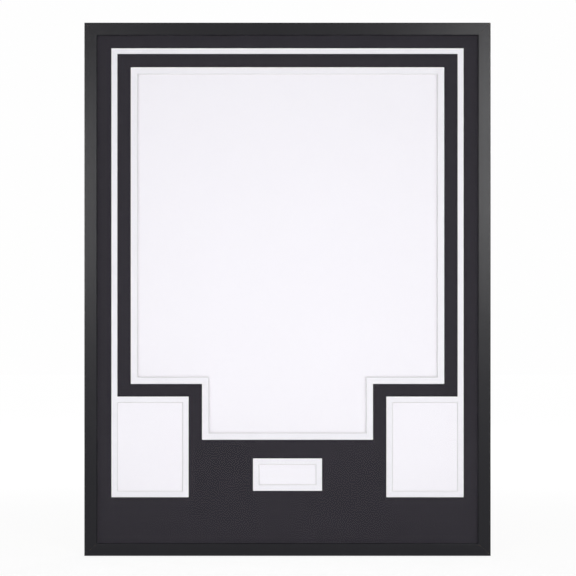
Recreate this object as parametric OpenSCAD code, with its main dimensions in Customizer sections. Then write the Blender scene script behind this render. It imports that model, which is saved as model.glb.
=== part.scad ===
// Jersey display case. A mitred wooden moulding holds a clear sheet, two mats with bevelled windows,
// spacers, a mounting board and a back board. Turn buttons keep the back board in, and two ring
// hangers carry the case on a wall.
// X runs to the right, Y from the front to the back and Z up.
// The origin is the middle of the moulding's underside.

/* [Moulding] */
// Overall width
outer_w = 812.8; // [780:0.1:860]
// Overall height
outer_h = 1066.8; // [1020:0.1:1140]
// Width of the moulding's front face
face_w = 25; // [24:0.5:30]
// Thickness of the lip in front of the sheets
lip_t = 6.8; // [4:0.1:10]
// How far the lip overhangs the sheets
rabbet_w = 6.5; // [5:0.1:7]
// Radius of the eased front edges
arris_r = 1.3; // [0.5:0.1:2]
// Radius of the eased outer back edge
back_arris_r = 0.6; // [0.3:0.1:1.5]

/* [Sheets] */
// Side clearance between the sheets and the moulding
sheet_gap = 1.2; // [0.5:0.1:1.6]
// Thickness of the clear sheet
glazing_t = 2.5; // [2:0.1:4]
// Thickness of one mat
mat_t = 1.4; // [1.1:0.1:2.4]
// Thickness of the spacer strips
spacer_t = 5; // [4.6:0.1:12]
// Width of the spacer strips
spacer_w = 20; // [10:0.5:24]
// Thickness of the filler boards behind the photo and nameplate windows
filler_t = 3.2; // [2.4:0.1:3.8]
// How far a filler board reaches past its window
filler_lap = 10; // [6:0.5:12]
// Thickness of the mounting board
board_t = 5; // [3:0.1:8]
// Thickness of the back board
back_t = 3; // [2.5:0.1:6]
// Depth of the back board below the moulding's back face
back_recess = 0.3; // [0.1:0.05:0.6]

/* [Mat windows] */
// Black border between the moulding and the white strip, at each side
border_side = 28.2; // [24:0.5:34]
// Black border above the white strip
border_top = 25.1; // [18:0.1:34]
// Black border below the photo windows
border_bottom = 91.4; // [80:0.1:110]
// Width of the white strip at each side
strip_side = 12.5; // [9:0.1:17]
// Width of the white strip along the top
strip_top = 11.8; // [9:0.1:17]
// Width of the black band between the white strip and the jersey window
band_w = 26.3; // [20:0.1:32]
// Height of the black band between the jersey window's shoulders and the photo windows
shoulder_band = 24.9; // [18:0.1:32]
// Height of the jersey window's tail below its shoulders
tail_h = 111.9; // [90:0.1:130]
// Black gap between the tail and the nameplate window
plate_gap = 37; // [28:0.1:48]
// White margin of the lower mat inside the jersey window
jersey_reveal = 12.7; // [10:0.1:18]
// White margin of the lower mat inside the photo and nameplate windows
photo_reveal = 11.4; // [10:0.1:16]
// Width of a photo opening
photo_w = 132.5; // [110:0.1:145]
// Height of a photo opening
photo_h = 179.4; // [150:0.1:200]
// Width of the nameplate opening
plate_w = 116.1; // [90:0.1:150]
// Height of the nameplate opening
plate_h = 42.6; // [28:0.1:50]

/* [Turn buttons] */
// Distance from a corner of the case to the nearest turn button
button_inset = 190; // [160:1:220]
// Width of a turn button
button_w = 9.5; // [8:0.1:12]
// Thickness of a turn button's sheet
button_t = 1.2; // [0.8:0.1:1.6]
// Reach of a turn button from its screw to its nose
button_reach = 27; // [24:0.5:34]
// Length of the flat pad beyond the screw
button_pad = 6; // [5:0.1:7]
// Height of the arch between pad and nose
button_arch = 1.2; // [0.6:0.1:2]
// Length of the upturned nose
nose_l = 4; // [2.5:0.1:6]
// Height by which the nose turns up
nose_rise = 1; // [0.4:0.1:1.6]
// Play under and over a turn button's pad
button_play = 0.1; // [0.05:0.01:0.2]

/* [Screws] */
// Radius of a screw's shank
shank_r = 1.5; // [1.2:0.05:1.7]
// Length of a screw below its head
screw_l = 13; // [10:0.5:16]
// Length of a screw's point
point_l = 3; // [2:0.1:4]
// Radius of a screw's head
head_r = 3.2; // [2.8:0.1:3.8]
// Height of a screw's head
head_h = 2; // [1.8:0.1:2.6]
// Height of the domed part of a screw's head
dome_h = 1.2; // [0.8:0.1:1.6]
// Width of the head's cross recess
cross_w = 0.9; // [0.6:0.1:1.2]
// Length of the head's cross recess
cross_l = 3.8; // [3:0.1:4.4]
// Depth of the head's cross recess
cross_d = 1.1; // [0.6:0.1:1.5]
// Radial play of a screw in a turn button or a strap
screw_play = 0.08; // [0.05:0.01:0.1]
// Radial clearance of a pilot hole in the wood
pilot_gap = 0.03; // [0.01:0.01:0.1]

/* [Hangers] */
// Distance from the top edge down to the hanger rings' pivots
hanger_drop = 290; // [260:1:330]
// Width of a hanger's strap
strap_w = 10.5; // [9:0.1:10.9]
// Thickness of a strap's sheet
strap_t = 1; // [0.8:0.1:1.2]
// Gap between the folded strap's two layers
fold_gap = 0.1; // [0.05:0.01:0.2]
// Distance from the ring's pivot to the strap's first screw
strap_first = 8.6; // [8.2:0.1:9.2]
// Distance between a strap's two screws
strap_pitch = 18; // [15:0.5:24]
// Radius of the ring's wire
wire_r = 1.25; // [1:0.05:1.4]
// Radial play of the wire in the strap's eye
wire_play = 0.1; // [0.05:0.01:0.1]
// Radius of the ring's round end, to the middle of the wire
ring_r = 7.4; // [7.2:0.1:8.4]
// Radius of the ring's two corner bends, to the middle of the wire
ring_bend = 1.8; // [1.5:0.05:1.9]
// Distance from the pivot to the middle of the ring's round end
ring_leg = 7.2; // [7:0.1:9]
// Gap between the raised ring's round end and the moulding
ring_gap = 0.3; // [0.1:0.05:0.5]

/* [Bumpers] */
// Radius of a bumper
bumper_r = 6.3; // [5:0.1:7.5]
// Thickness of a bumper
bumper_t = 3.2; // [2:0.1:5]
// Width of a bumper's sloping edge
bumper_edge = 0.9; // [0.4:0.1:1.6]
// Distance from the side of the case to a bumper's middle
bumper_inset = 60; // [45:1:100]

/* [Corner nails] */
// Length of each wing of a corner nail
nail_wing = 5; // [4:0.1:6]
// Thickness of a corner nail's sheet
nail_t = 0.5; // [0.4:0.05:0.7]
// Length of the hook at the end of each wing
nail_hook = 0.6; // [0.3:0.1:1]
// Depth of a corner nail
nail_h = 10; // [7:0.5:14]
// Wood left beside the corner nails
nail_margin = 3; // [2:0.1:4]
// Depth of a corner nail below the moulding's back face
nail_sink = 0.2; // [0.1:0.05:0.6]
// Clearance round a corner nail in the wood
nail_gap = 0.03; // [0.01:0.01:0.1]

/* [Hidden] */
$fn = 64;

// How far a cutter reaches past the face that it opens
over = 1;
// Steps along a turn button's arch and nose
arch_steps = 20;
nose_steps = 6;

// Depth of the moulding, from its face to its back, and where each layer starts
depth = lip_t + glazing_t + 2 * mat_t + spacer_t + board_t + back_t + back_recess;
face_y = -depth / 2;
back_y = depth / 2;
glazing_y = face_y + lip_t;
top_mat_y = glazing_y + glazing_t;
lower_mat_y = top_mat_y + mat_t;
spacer_y = lower_mat_y + mat_t;
board_y = spacer_y + spacer_t;
back_board_y = board_y + board_t;

// The moulding's wall behind the lip, and the sheets, which stand on the bottom rail's wall
wall = face_w - rabbet_w;
sheet_w = outer_w - 2 * (wall + sheet_gap);
sheet_h = outer_h - 2 * (wall + sheet_gap);
sheet_z = wall;

// The windows in the black mat, measured at its face
strip_x = outer_w / 2 - face_w - border_side;
strip_z = outer_h - face_w - border_top;
photo_out_w = photo_w + 2 * photo_reveal;
photo_out_h = photo_h + 2 * photo_reveal;
photo_z = face_w + border_bottom;
jersey_x = strip_x - strip_side - band_w;
jersey_top = strip_z - strip_top - band_w;
shoulder_z = photo_z + photo_out_h + shoulder_band;
tail_x = strip_x - photo_out_w - band_w;
tail_z = shoulder_z - tail_h;
plate_out_w = plate_w + 2 * photo_reveal;
plate_out_h = plate_h + 2 * photo_reveal;
plate_z = tail_z - plate_gap - plate_out_h;

// The places of the hardware on the moulding's back face
rail_mid = wall / 2;
stile_x = outer_w / 2 - rail_mid;
button_x = outer_w / 2 - button_inset;
upper_z = outer_h - button_inset;
middle_z = outer_h / 2;
lower_z = button_inset;
button_stack = button_t + 2 * button_play;
hanger_z = outer_h - hanger_drop;
hanger_screws_z = [hanger_z - strap_first, hanger_z - strap_first - strap_pitch];
strap_stack = 2 * strap_t + fold_gap;
eye_r = wire_r + wire_play;
pivot_y = back_y + eye_r + strap_t;
ring_lean = asin((eye_r + strap_t - wire_r - ring_gap) / (ring_leg + ring_r));
nail_places = [nail_margin, wall - nail_margin - nail_wing];

// Profile of the moulding. Its first axis runs inwards from the outer edge, its second from front to back.
module corner_waste(radius) {
    difference() {
        translate([-over, -over]) square(radius + over);
        translate([radius, radius]) circle(radius);
    }
}

module moulding_profile() {
    difference() {
        square([face_w, depth]);
        translate([wall, lip_t]) square([rabbet_w + over, depth - lip_t + over]);
        corner_waste(arris_r);
        translate([face_w, 0]) mirror([1, 0]) corner_waste(arris_r);
        translate([0, depth]) mirror([0, 1]) corner_waste(back_arris_r);
    }
}

// A length of moulding along X, with its outer edge down, cut to 45 degrees at both ends
module rail(length) {
    intersection() {
        translate([-length / 2, face_y, 0])
            rotate([90, 0, 90]) linear_extrude(length) mirror([1, -1]) moulding_profile();
        translate([0, back_y + over, 0]) rotate([90, 0, 0]) linear_extrude(depth + 2 * over)
            polygon([
                [-length / 2, 0], [length / 2, 0],
                [length / 2 - face_w, face_w], [-length / 2 + face_w, face_w]
            ]);
    }
}

// Hole for a screw whose head stands off the wood by a stack of sheet metal
module pilot_hole(x, z, stack) {
    translate([x, back_y + over, z]) rotate([90, 0, 0])
        cylinder(h = screw_l - stack + 2 * over, r = shank_r + pilot_gap);
}

// A V-shaped corner nail in plan, grown by a clearance on every side
module nail_plan(grow) {
    thick = nail_t + 2 * grow;
    translate([-grow, -grow]) square([nail_wing + 2 * grow, thick]);
    translate([-grow, -grow]) square([thick, nail_wing + 2 * grow]);
    translate([nail_wing - nail_t - grow, -nail_hook - grow]) square([thick, nail_hook + thick]);
    translate([-nail_hook - grow, nail_wing - nail_t - grow]) square([nail_hook + thick, thick]);
}

// The nails of one corner, or the slots that they are driven into
module corner_set(side, end, grow, rise) {
    translate([side * outer_w / 2, back_y - nail_sink + rise, end > 0 ? outer_h : 0])
        mirror([side > 0 ? 1 : 0, 0, 0]) mirror([0, 0, end > 0 ? 1 : 0])
            for (place = nail_places)
                translate([place, 0, place]) rotate([90, 0, 0])
                    linear_extrude(nail_h + rise + grow) nail_plan(grow);
}

module nail_slots(side, end) {
    corner_set(side, end, nail_gap, nail_sink + over);
}

module corner_nails() {
    color("lightsteelblue")
        for (side = [-1, 1], end = [-1, 1]) corner_set(side, end, 0, 0);
}

module bottom_rail() {
    color([0.17, 0.17, 0.18]) difference() {
        rail(outer_w);
        for (side = [-1, 1]) {
            pilot_hole(side * button_x, rail_mid, button_stack);
            nail_slots(side, -1);
        }
    }
}

module top_rail() {
    color([0.2, 0.2, 0.21]) difference() {
        translate([0, 0, outer_h]) rotate([0, 180, 0]) rail(outer_w);
        for (side = [-1, 1]) {
            pilot_hole(side * button_x, outer_h - rail_mid, button_stack);
            nail_slots(side, 1);
        }
    }
}

module stile(side) {
    color([0.24, 0.24, 0.25]) difference() {
        translate([side * outer_w / 2, 0, outer_h / 2]) rotate([0, -90 * side, 0]) rail(outer_h);
        for (z = [upper_z, middle_z, lower_z]) pilot_hole(side * stile_x, z, button_stack);
        for (z = hanger_screws_z) pilot_hole(side * stile_x, z, strap_stack);
        for (end = [-1, 1]) nail_slots(side, end);
    }
}

// A flat sheet that fills the rabbet and stands on the bottom rail
module sheet(y, thickness) {
    translate([-sheet_w / 2, y, sheet_z]) cube([sheet_w, thickness, sheet_h]);
}

// Waste of one rectangular window in a mat whose face lies at y. It is full size at the face and
// narrows at 45 degrees towards the back, as a bevel cutter leaves it.
module bevel_waste(y, x0, x1, z0, z1) {
    back = mat_t + over;
    intersection() {
        translate([0, 0, z0 - over]) linear_extrude(z1 - z0 + 2 * over)
            polygon([
                [x0 - over, y - over], [x1 + over, y - over],
                [x1 - back, y + back], [x0 + back, y + back]
            ]);
        translate([x0 - over, 0, 0]) rotate([90, 0, 90]) linear_extrude(x1 - x0 + 2 * over)
            polygon([
                [y - over, z0 - over], [y + back, z0 + back],
                [y + back, z1 - back], [y - over, z1 + over]
            ]);
    }
}

// The jersey window with its hanging tail, drawn smaller by an inset on every side
module jersey_waste(y, inset) {
    bevel_waste(y, -jersey_x + inset, jersey_x - inset, shoulder_z + inset, jersey_top - inset);
    bevel_waste(y, -tail_x + inset, tail_x - inset, tail_z + inset, jersey_top - inset);
}

module photo_waste(y, side, inset) {
    near = strip_x - photo_out_w + inset;
    far = strip_x - inset;
    bevel_waste(y, side > 0 ? near : -far, side > 0 ? far : -near,
        photo_z + inset, photo_z + photo_out_h - inset);
}

module plate_waste(y, inset) {
    bevel_waste(y, -plate_out_w / 2 + inset, plate_out_w / 2 - inset,
        plate_z + inset, plate_z + plate_out_h - inset);
}

// The narrow strip that rises from each photo window and crosses over the jersey window
module strip_waste(y) {
    bevel_waste(y, -strip_x, -strip_x + strip_side, photo_z, strip_z);
    bevel_waste(y, strip_x - strip_side, strip_x, photo_z, strip_z);
    bevel_waste(y, -strip_x, strip_x, strip_z - strip_top, strip_z);
}

module clear_sheet() {
    color([0.85, 0.9, 0.92, 0.25]) sheet(glazing_y, glazing_t);
}

module black_top_mat() {
    color([0.2, 0.2, 0.22]) difference() {
        sheet(top_mat_y, mat_t);
        jersey_waste(top_mat_y, 0);
        strip_waste(top_mat_y);
        for (side = [-1, 1]) photo_waste(top_mat_y, side, 0);
        plate_waste(top_mat_y, 0);
    }
}

module white_lower_mat() {
    color([0.94, 0.94, 0.96]) difference() {
        sheet(lower_mat_y, mat_t);
        jersey_waste(lower_mat_y, jersey_reveal);
        for (side = [-1, 1]) photo_waste(lower_mat_y, side, photo_reveal);
        plate_waste(lower_mat_y, photo_reveal);
    }
}

// Spacers. The level ones run the whole width, and the upright ones stand between them.
module level_spacer(z) {
    color("white") translate([-sheet_w / 2, spacer_y, z]) cube([sheet_w, spacer_t, spacer_w]);
}

module upright_spacer(x) {
    color("white") translate([x, spacer_y, sheet_z + spacer_w])
        cube([spacer_w, spacer_t, sheet_h - 2 * spacer_w]);
}

// Filler boards on the mounting board, each behind one window of the lower mat and a little larger. They
// leave room behind that mat for a mounted photo or a nameplate.
module filler(x0, x1, z0, z1) {
    color("whitesmoke") translate([x0 - filler_lap, board_y - filler_t, z0 - filler_lap])
        cube([x1 - x0 + 2 * filler_lap, filler_t, z1 - z0 + 2 * filler_lap]);
}

module photo_filler(side) {
    near = strip_x - photo_out_w + photo_reveal;
    far = strip_x - photo_reveal;
    filler(side > 0 ? near : -far, side > 0 ? far : -near,
        photo_z + photo_reveal, photo_z + photo_out_h - photo_reveal);
}

module nameplate_filler() {
    filler(-plate_w / 2, plate_w / 2, plate_z + photo_reveal, plate_z + plate_out_h - photo_reveal);
}

module mounting_board() {
    color([0.97, 0.96, 0.98]) sheet(board_y, board_t);
}

module back_board() {
    color([0.45, 0.32, 0.2]) sheet(back_board_y, back_t);
}

// Height of a turn button's underside above its pad, at a distance from the screw
nose_at = button_reach - nose_l;
function arch_rise(at) = button_arch * pow(sin(180 * (at - button_pad) / (nose_at - button_pad)), 2);
function nose_lift(at) = nose_rise * pow((at - nose_at) / nose_l, 2);
button_line = concat(
    [[0, -button_w / 2]],
    [for (i = [0:arch_steps]) let (at = button_pad + (nose_at - button_pad) * i / arch_steps)
        [arch_rise(at), at]],
    [for (i = [1:nose_steps]) let (at = nose_at + nose_l * i / nose_steps) [nose_lift(at), at]]
);

// A turn button with its screw's axis on Y and its nose up. It is sheet metal with round ends.
module turn_button() {
    last = len(button_line) - 1;
    top_line = [for (i = [last:-1:0]) [button_line[i][0] + button_t, button_line[i][1]]];
    color("silver") translate([0, back_y + button_play, 0]) difference() {
        intersection() {
            translate([-button_w / 2, 0, 0]) rotate([90, 0, 90])
                linear_extrude(button_w) polygon(concat(button_line, top_line));
            translate([0, button_arch + nose_rise + button_t + over, 0]) rotate([90, 0, 0])
                linear_extrude(button_arch + nose_rise + button_t + 2 * over) {
                    circle(button_w / 2);
                    translate([-button_w / 2, 0]) square([button_w, button_reach - button_w / 2]);
                    translate([0, button_reach - button_w / 2]) circle(button_w / 2);
                }
        }
        translate([0, button_t + over, 0]) rotate([90, 0, 0])
            cylinder(h = button_t + 2 * over, r = shank_r + screw_play);
    }
}

module rail_button(side, end) {
    translate([side * button_x, 0, end > 0 ? outer_h - rail_mid : rail_mid])
        rotate([0, end > 0 ? 180 : 0, 0]) turn_button();
}

module stile_button(side, z) {
    translate([side * stile_x, 0, z]) rotate([0, -90 * side, 0]) turn_button();
}

// A pan-head screw along Y, whose head stands off the wood by a stack of sheet metal
module screw(x, z, stack) {
    dome_r = (head_r * head_r + dome_h * dome_h) / (2 * dome_h);
    translate([x, back_y + stack, z]) rotate([-90, 0, 0]) {
        difference() {
            intersection() {
                cylinder(h = head_h, r = head_r);
                translate([0, 0, head_h - dome_r]) sphere(dome_r);
            }
            for (turn = [0, 90]) rotate([0, 0, turn])
                translate([-cross_l / 2, -cross_w / 2, head_h - cross_d]) cube([cross_l, cross_w, head_h]);
        }
        translate([0, 0, point_l - screw_l]) cylinder(h = screw_l - point_l, r = shank_r);
        translate([0, 0, -screw_l]) cylinder(h = point_l, r1 = shank_r / 8, r2 = shank_r);
    }
}

module turn_button_screws() {
    color("gainsboro") for (side = [-1, 1]) {
        for (z = [rail_mid, outer_h - rail_mid]) screw(side * button_x, z, button_stack);
        for (z = [upper_z, middle_z, lower_z]) screw(side * stile_x, z, button_stack);
    }
}

module hanger_screws() {
    color("gainsboro") for (side = [-1, 1], z = hanger_screws_z) screw(side * stile_x, z, strap_stack);
}

// A strap of sheet metal, folded round the ring's wire and screwed down through both layers.
// Its section has Y to the right and Z up, and starts at the moulding's back face.
module strap_section() {
    length = strap_first + strap_pitch + strap_w / 2;
    difference() {
        union() {
            translate([eye_r + strap_t, 0]) circle(eye_r + strap_t);
            translate([0, -length]) square([strap_t, length]);
            translate([strap_t + fold_gap, -length]) square([strap_t, length]);
        }
        translate([eye_r + strap_t, 0]) circle(eye_r);
    }
}

module hanger_strap(side) {
    last_screw = strap_first + strap_pitch;
    height = 2 * (eye_r + strap_t);
    color("silver") translate([side * stile_x, back_y, hanger_z]) difference() {
        intersection() {
            translate([-strap_w / 2, 0, 0]) rotate([90, 0, 90]) linear_extrude(strap_w) strap_section();
            translate([0, height + over, 0]) rotate([90, 0, 0]) linear_extrude(height + 2 * over) {
                translate([-strap_w / 2, -last_screw]) square([strap_w, last_screw + height]);
                translate([0, -last_screw]) circle(strap_w / 2);
            }
        }
        for (at = [strap_first, last_screw]) translate([0, height, -at]) rotate([90, 0, 0])
            cylinder(h = height + over, r = shank_r + screw_play);
    }
}

// A D-shaped wire ring, raised as it is on the wall. Its straight side turns in the strap's eye, and
// its round end leans back to just short of the wood.
module hanger_ring(side) {
    bar = ring_r - ring_bend;
    color("gainsboro") translate([side * stile_x, pivot_y, hanger_z]) rotate([90 + ring_lean, 0, 0]) {
        translate([-bar, 0, 0]) rotate([0, 90, 0]) cylinder(h = 2 * bar, r = wire_r);
        for (turn = [0, 1]) mirror([turn, 0, 0]) {
            translate([bar, ring_bend, 0]) rotate([0, 0, -90]) rotate_extrude(angle = 90)
                translate([ring_bend, 0]) circle(wire_r);
            translate([ring_r, ring_leg, 0]) rotate([90, 0, 0])
                cylinder(h = ring_leg - ring_bend, r = wire_r);
        }
        translate([0, ring_leg, 0]) rotate_extrude(angle = 180) translate([ring_r, 0]) circle(wire_r);
    }
}

// A round rubber bumper on the bottom rail's back face
module bumper(side) {
    color("dimgray") translate([side * (outer_w / 2 - bumper_inset), back_y, rail_mid])
        rotate([-90, 0, 0]) {
            cylinder(h = bumper_t - bumper_edge, r = bumper_r);
            translate([0, 0, bumper_t - bumper_edge])
                cylinder(h = bumper_edge, r1 = bumper_r, r2 = bumper_r - bumper_edge);
        }
}

top_rail();
bottom_rail();
stile(-1);  // left_stile
stile(1);  // right_stile
corner_nails();
clear_sheet();
black_top_mat();
white_lower_mat();
level_spacer(sheet_z + sheet_h - spacer_w);  // top_spacer
level_spacer(sheet_z);  // bottom_spacer
upright_spacer(-sheet_w / 2);  // left_spacer
upright_spacer(sheet_w / 2 - spacer_w);  // right_spacer
photo_filler(-1);  // left_photo_filler
photo_filler(1);  // right_photo_filler
nameplate_filler();
mounting_board();
back_board();
rail_button(-1, 1);  // turn_button_top_left
rail_button(1, 1);  // turn_button_top_right
rail_button(-1, -1);  // turn_button_bottom_left
rail_button(1, -1);  // turn_button_bottom_right
stile_button(-1, upper_z);  // turn_button_left_upper
stile_button(-1, middle_z);  // turn_button_left_middle
stile_button(-1, lower_z);  // turn_button_left_lower
stile_button(1, upper_z);  // turn_button_right_upper
stile_button(1, middle_z);  // turn_button_right_middle
stile_button(1, lower_z);  // turn_button_right_lower
turn_button_screws();
hanger_strap(-1);  // left_hanger_strap
hanger_ring(-1);  // left_hanger_ring
hanger_strap(1);  // right_hanger_strap
hanger_ring(1);  // right_hanger_ring
hanger_screws();
bumper(-1);  // left_bumper
bumper(1);  // right_bumper
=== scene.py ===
"""Looks of a jersey display case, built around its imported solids.

The moulding, the clear sheet and the corner nails stay the frame's own nodes and get finishes. The mats,
boards, spacers, turn buttons, screws, hangers and bumpers are surfaces worked out here. Each takes the
place of its node and stays where that node is.

X runs to the right, Y from the front to the back and Z up. Sizes are in millimetres, as on the drawing,
and every mesh is written in metres. The origin is the middle of the moulding's underside.
"""

import logging
import math
from dataclasses import dataclass
from enum import Enum
from functools import cache
from typing import Any, NamedTuple

import bmesh
import bpy
import numpy as np
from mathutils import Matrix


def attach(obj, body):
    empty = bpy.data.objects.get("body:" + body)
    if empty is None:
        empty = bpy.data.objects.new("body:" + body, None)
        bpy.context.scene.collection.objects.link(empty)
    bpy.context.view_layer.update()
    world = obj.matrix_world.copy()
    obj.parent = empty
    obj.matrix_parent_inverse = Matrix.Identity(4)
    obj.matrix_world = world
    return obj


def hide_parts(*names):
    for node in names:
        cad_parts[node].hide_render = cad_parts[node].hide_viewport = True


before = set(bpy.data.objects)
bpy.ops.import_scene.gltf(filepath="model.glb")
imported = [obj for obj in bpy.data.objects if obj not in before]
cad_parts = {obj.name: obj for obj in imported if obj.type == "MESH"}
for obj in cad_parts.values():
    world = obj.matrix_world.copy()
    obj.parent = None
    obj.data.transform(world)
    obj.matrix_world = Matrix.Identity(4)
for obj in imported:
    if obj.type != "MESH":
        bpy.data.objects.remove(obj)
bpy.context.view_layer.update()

MM = 0.001
ROOT_BODY = "case"
WELD = 1e-7
SIDES = ((-1, "left"), (1, "right"))

Colour = tuple[float, float, float]
Point = tuple[float, float, float]
Factors = tuple[float, float, float]
# Start and end of a smooth rise, and where one is given, the two values that it runs between.
Step = tuple[float, ...]
Socket = bpy.types.NodeSocket
Materials = tuple[bpy.types.Material, ...]

log = logging.getLogger("jersey_display_case")


# Sizes


@dataclass(frozen=True)
class CaseSizes:
    """Sizes of the case that more than one sub-assembly uses, in millimetres."""

    outer_w: float = 812.8
    outer_h: float = 1066.8
    face_w: float = 25.0
    lip_t: float = 6.8
    wall: float = 18.5
    depth: float = 25.4
    sheet_gap: float = 1.2
    glazing_t: float = 2.5
    mat_t: float = 1.4
    spacer_t: float = 5.0
    spacer_w: float = 20.0
    filler_t: float = 3.2
    filler_lap: float = 10.0
    board_t: float = 5.0
    back_t: float = 3.0

    @property
    def back_y(self) -> float:
        """Depth at which the moulding's back face lies."""
        return self.depth / 2

    @property
    def glazing_y(self) -> float:
        """Depth at which the clear sheet starts."""
        return self.lip_t - self.depth / 2

    @property
    def top_mat_y(self) -> float:
        """Depth of the black mat's face."""
        return self.glazing_y + self.glazing_t

    @property
    def lower_mat_y(self) -> float:
        """Depth of the white mat's face."""
        return self.top_mat_y + self.mat_t

    @property
    def spacer_y(self) -> float:
        """Depth at which the spacers start."""
        return self.lower_mat_y + self.mat_t

    @property
    def board_y(self) -> float:
        """Depth of the mounting board's face."""
        return self.spacer_y + self.spacer_t

    @property
    def back_board_y(self) -> float:
        """Depth at which the back board starts."""
        return self.board_y + self.board_t

    @property
    def stile_x(self) -> float:
        """Distance from the middle of the case to the middle of a stile's back face."""
        return self.outer_w / 2 - self.wall / 2


@dataclass(frozen=True)
class Window:
    """A rectangle on a mat or board, measured at its face, in millimetres."""

    x0: float
    x1: float
    z0: float
    z1: float

    def smaller(self, inset: float) -> "Window":
        """The same rectangle, drawn in by an inset on every side."""
        return Window(self.x0 + inset, self.x1 - inset, self.z0 + inset, self.z1 - inset)


@dataclass(frozen=True)
class WindowPlan:
    """Where the windows of both mats lie, from the widths of the bands between them."""

    sizes: CaseSizes
    border_side: float = 28.2
    border_top: float = 25.1
    border_bottom: float = 91.4
    strip_side: float = 12.5
    strip_top: float = 11.8
    band_w: float = 26.3
    shoulder_band: float = 24.9
    tail_h: float = 111.9
    plate_gap: float = 37.0
    jersey_reveal: float = 12.7
    photo_reveal: float = 11.4
    photo_w: float = 132.5
    photo_h: float = 179.4
    plate_w: float = 116.1
    plate_h: float = 42.6

    def outer(self) -> dict[str, list[Window]]:
        """Works out the black mat's windows.

        Returns:
            The rectangles of each window, by its name. Rectangles that overlap make one window.
        """
        strip_x = self.sizes.outer_w / 2 - self.sizes.face_w - self.border_side
        strip_z = self.sizes.outer_h - self.sizes.face_w - self.border_top
        photo_out_w = self.photo_w + 2 * self.photo_reveal
        photo_z = self.sizes.face_w + self.border_bottom
        photo_top = photo_z + self.photo_h + 2 * self.photo_reveal
        jersey_x = strip_x - self.strip_side - self.band_w
        jersey_top = strip_z - self.strip_top - self.band_w
        shoulder_z = photo_top + self.shoulder_band
        tail_x = strip_x - photo_out_w - self.band_w
        tail_z = shoulder_z - self.tail_h
        plate_x = self.plate_w / 2 + self.photo_reveal
        plate_top = tail_z - self.plate_gap
        plate_z = plate_top - self.plate_h - 2 * self.photo_reveal
        return {
            "jersey": [
                Window(-jersey_x, jersey_x, shoulder_z, jersey_top),
                Window(-tail_x, tail_x, tail_z, jersey_top),
            ],
            "photos": [
                Window(-strip_x, photo_out_w - strip_x, photo_z, photo_top),
                Window(strip_x - photo_out_w, strip_x, photo_z, photo_top),
            ],
            "nameplate": [Window(-plate_x, plate_x, plate_z, plate_top)],
            "strip": [
                Window(-strip_x, self.strip_side - strip_x, photo_z, strip_z),
                Window(strip_x - self.strip_side, strip_x, photo_z, strip_z),
                Window(-strip_x, strip_x, strip_z - self.strip_top, strip_z),
            ],
        }

    def inner(self) -> dict[str, list[Window]]:
        """Works out the white mat's windows.

        Returns:
            The rectangles of each window, by its name, drawn in from those of the black mat.
        """
        outer = self.outer()
        reveals = {"jersey": self.jersey_reveal, "photos": self.photo_reveal, "nameplate": self.photo_reveal}
        return {name: [w.smaller(reveal) for w in outer[name]] for name, reveal in reveals.items()}


# Meshes


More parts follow.
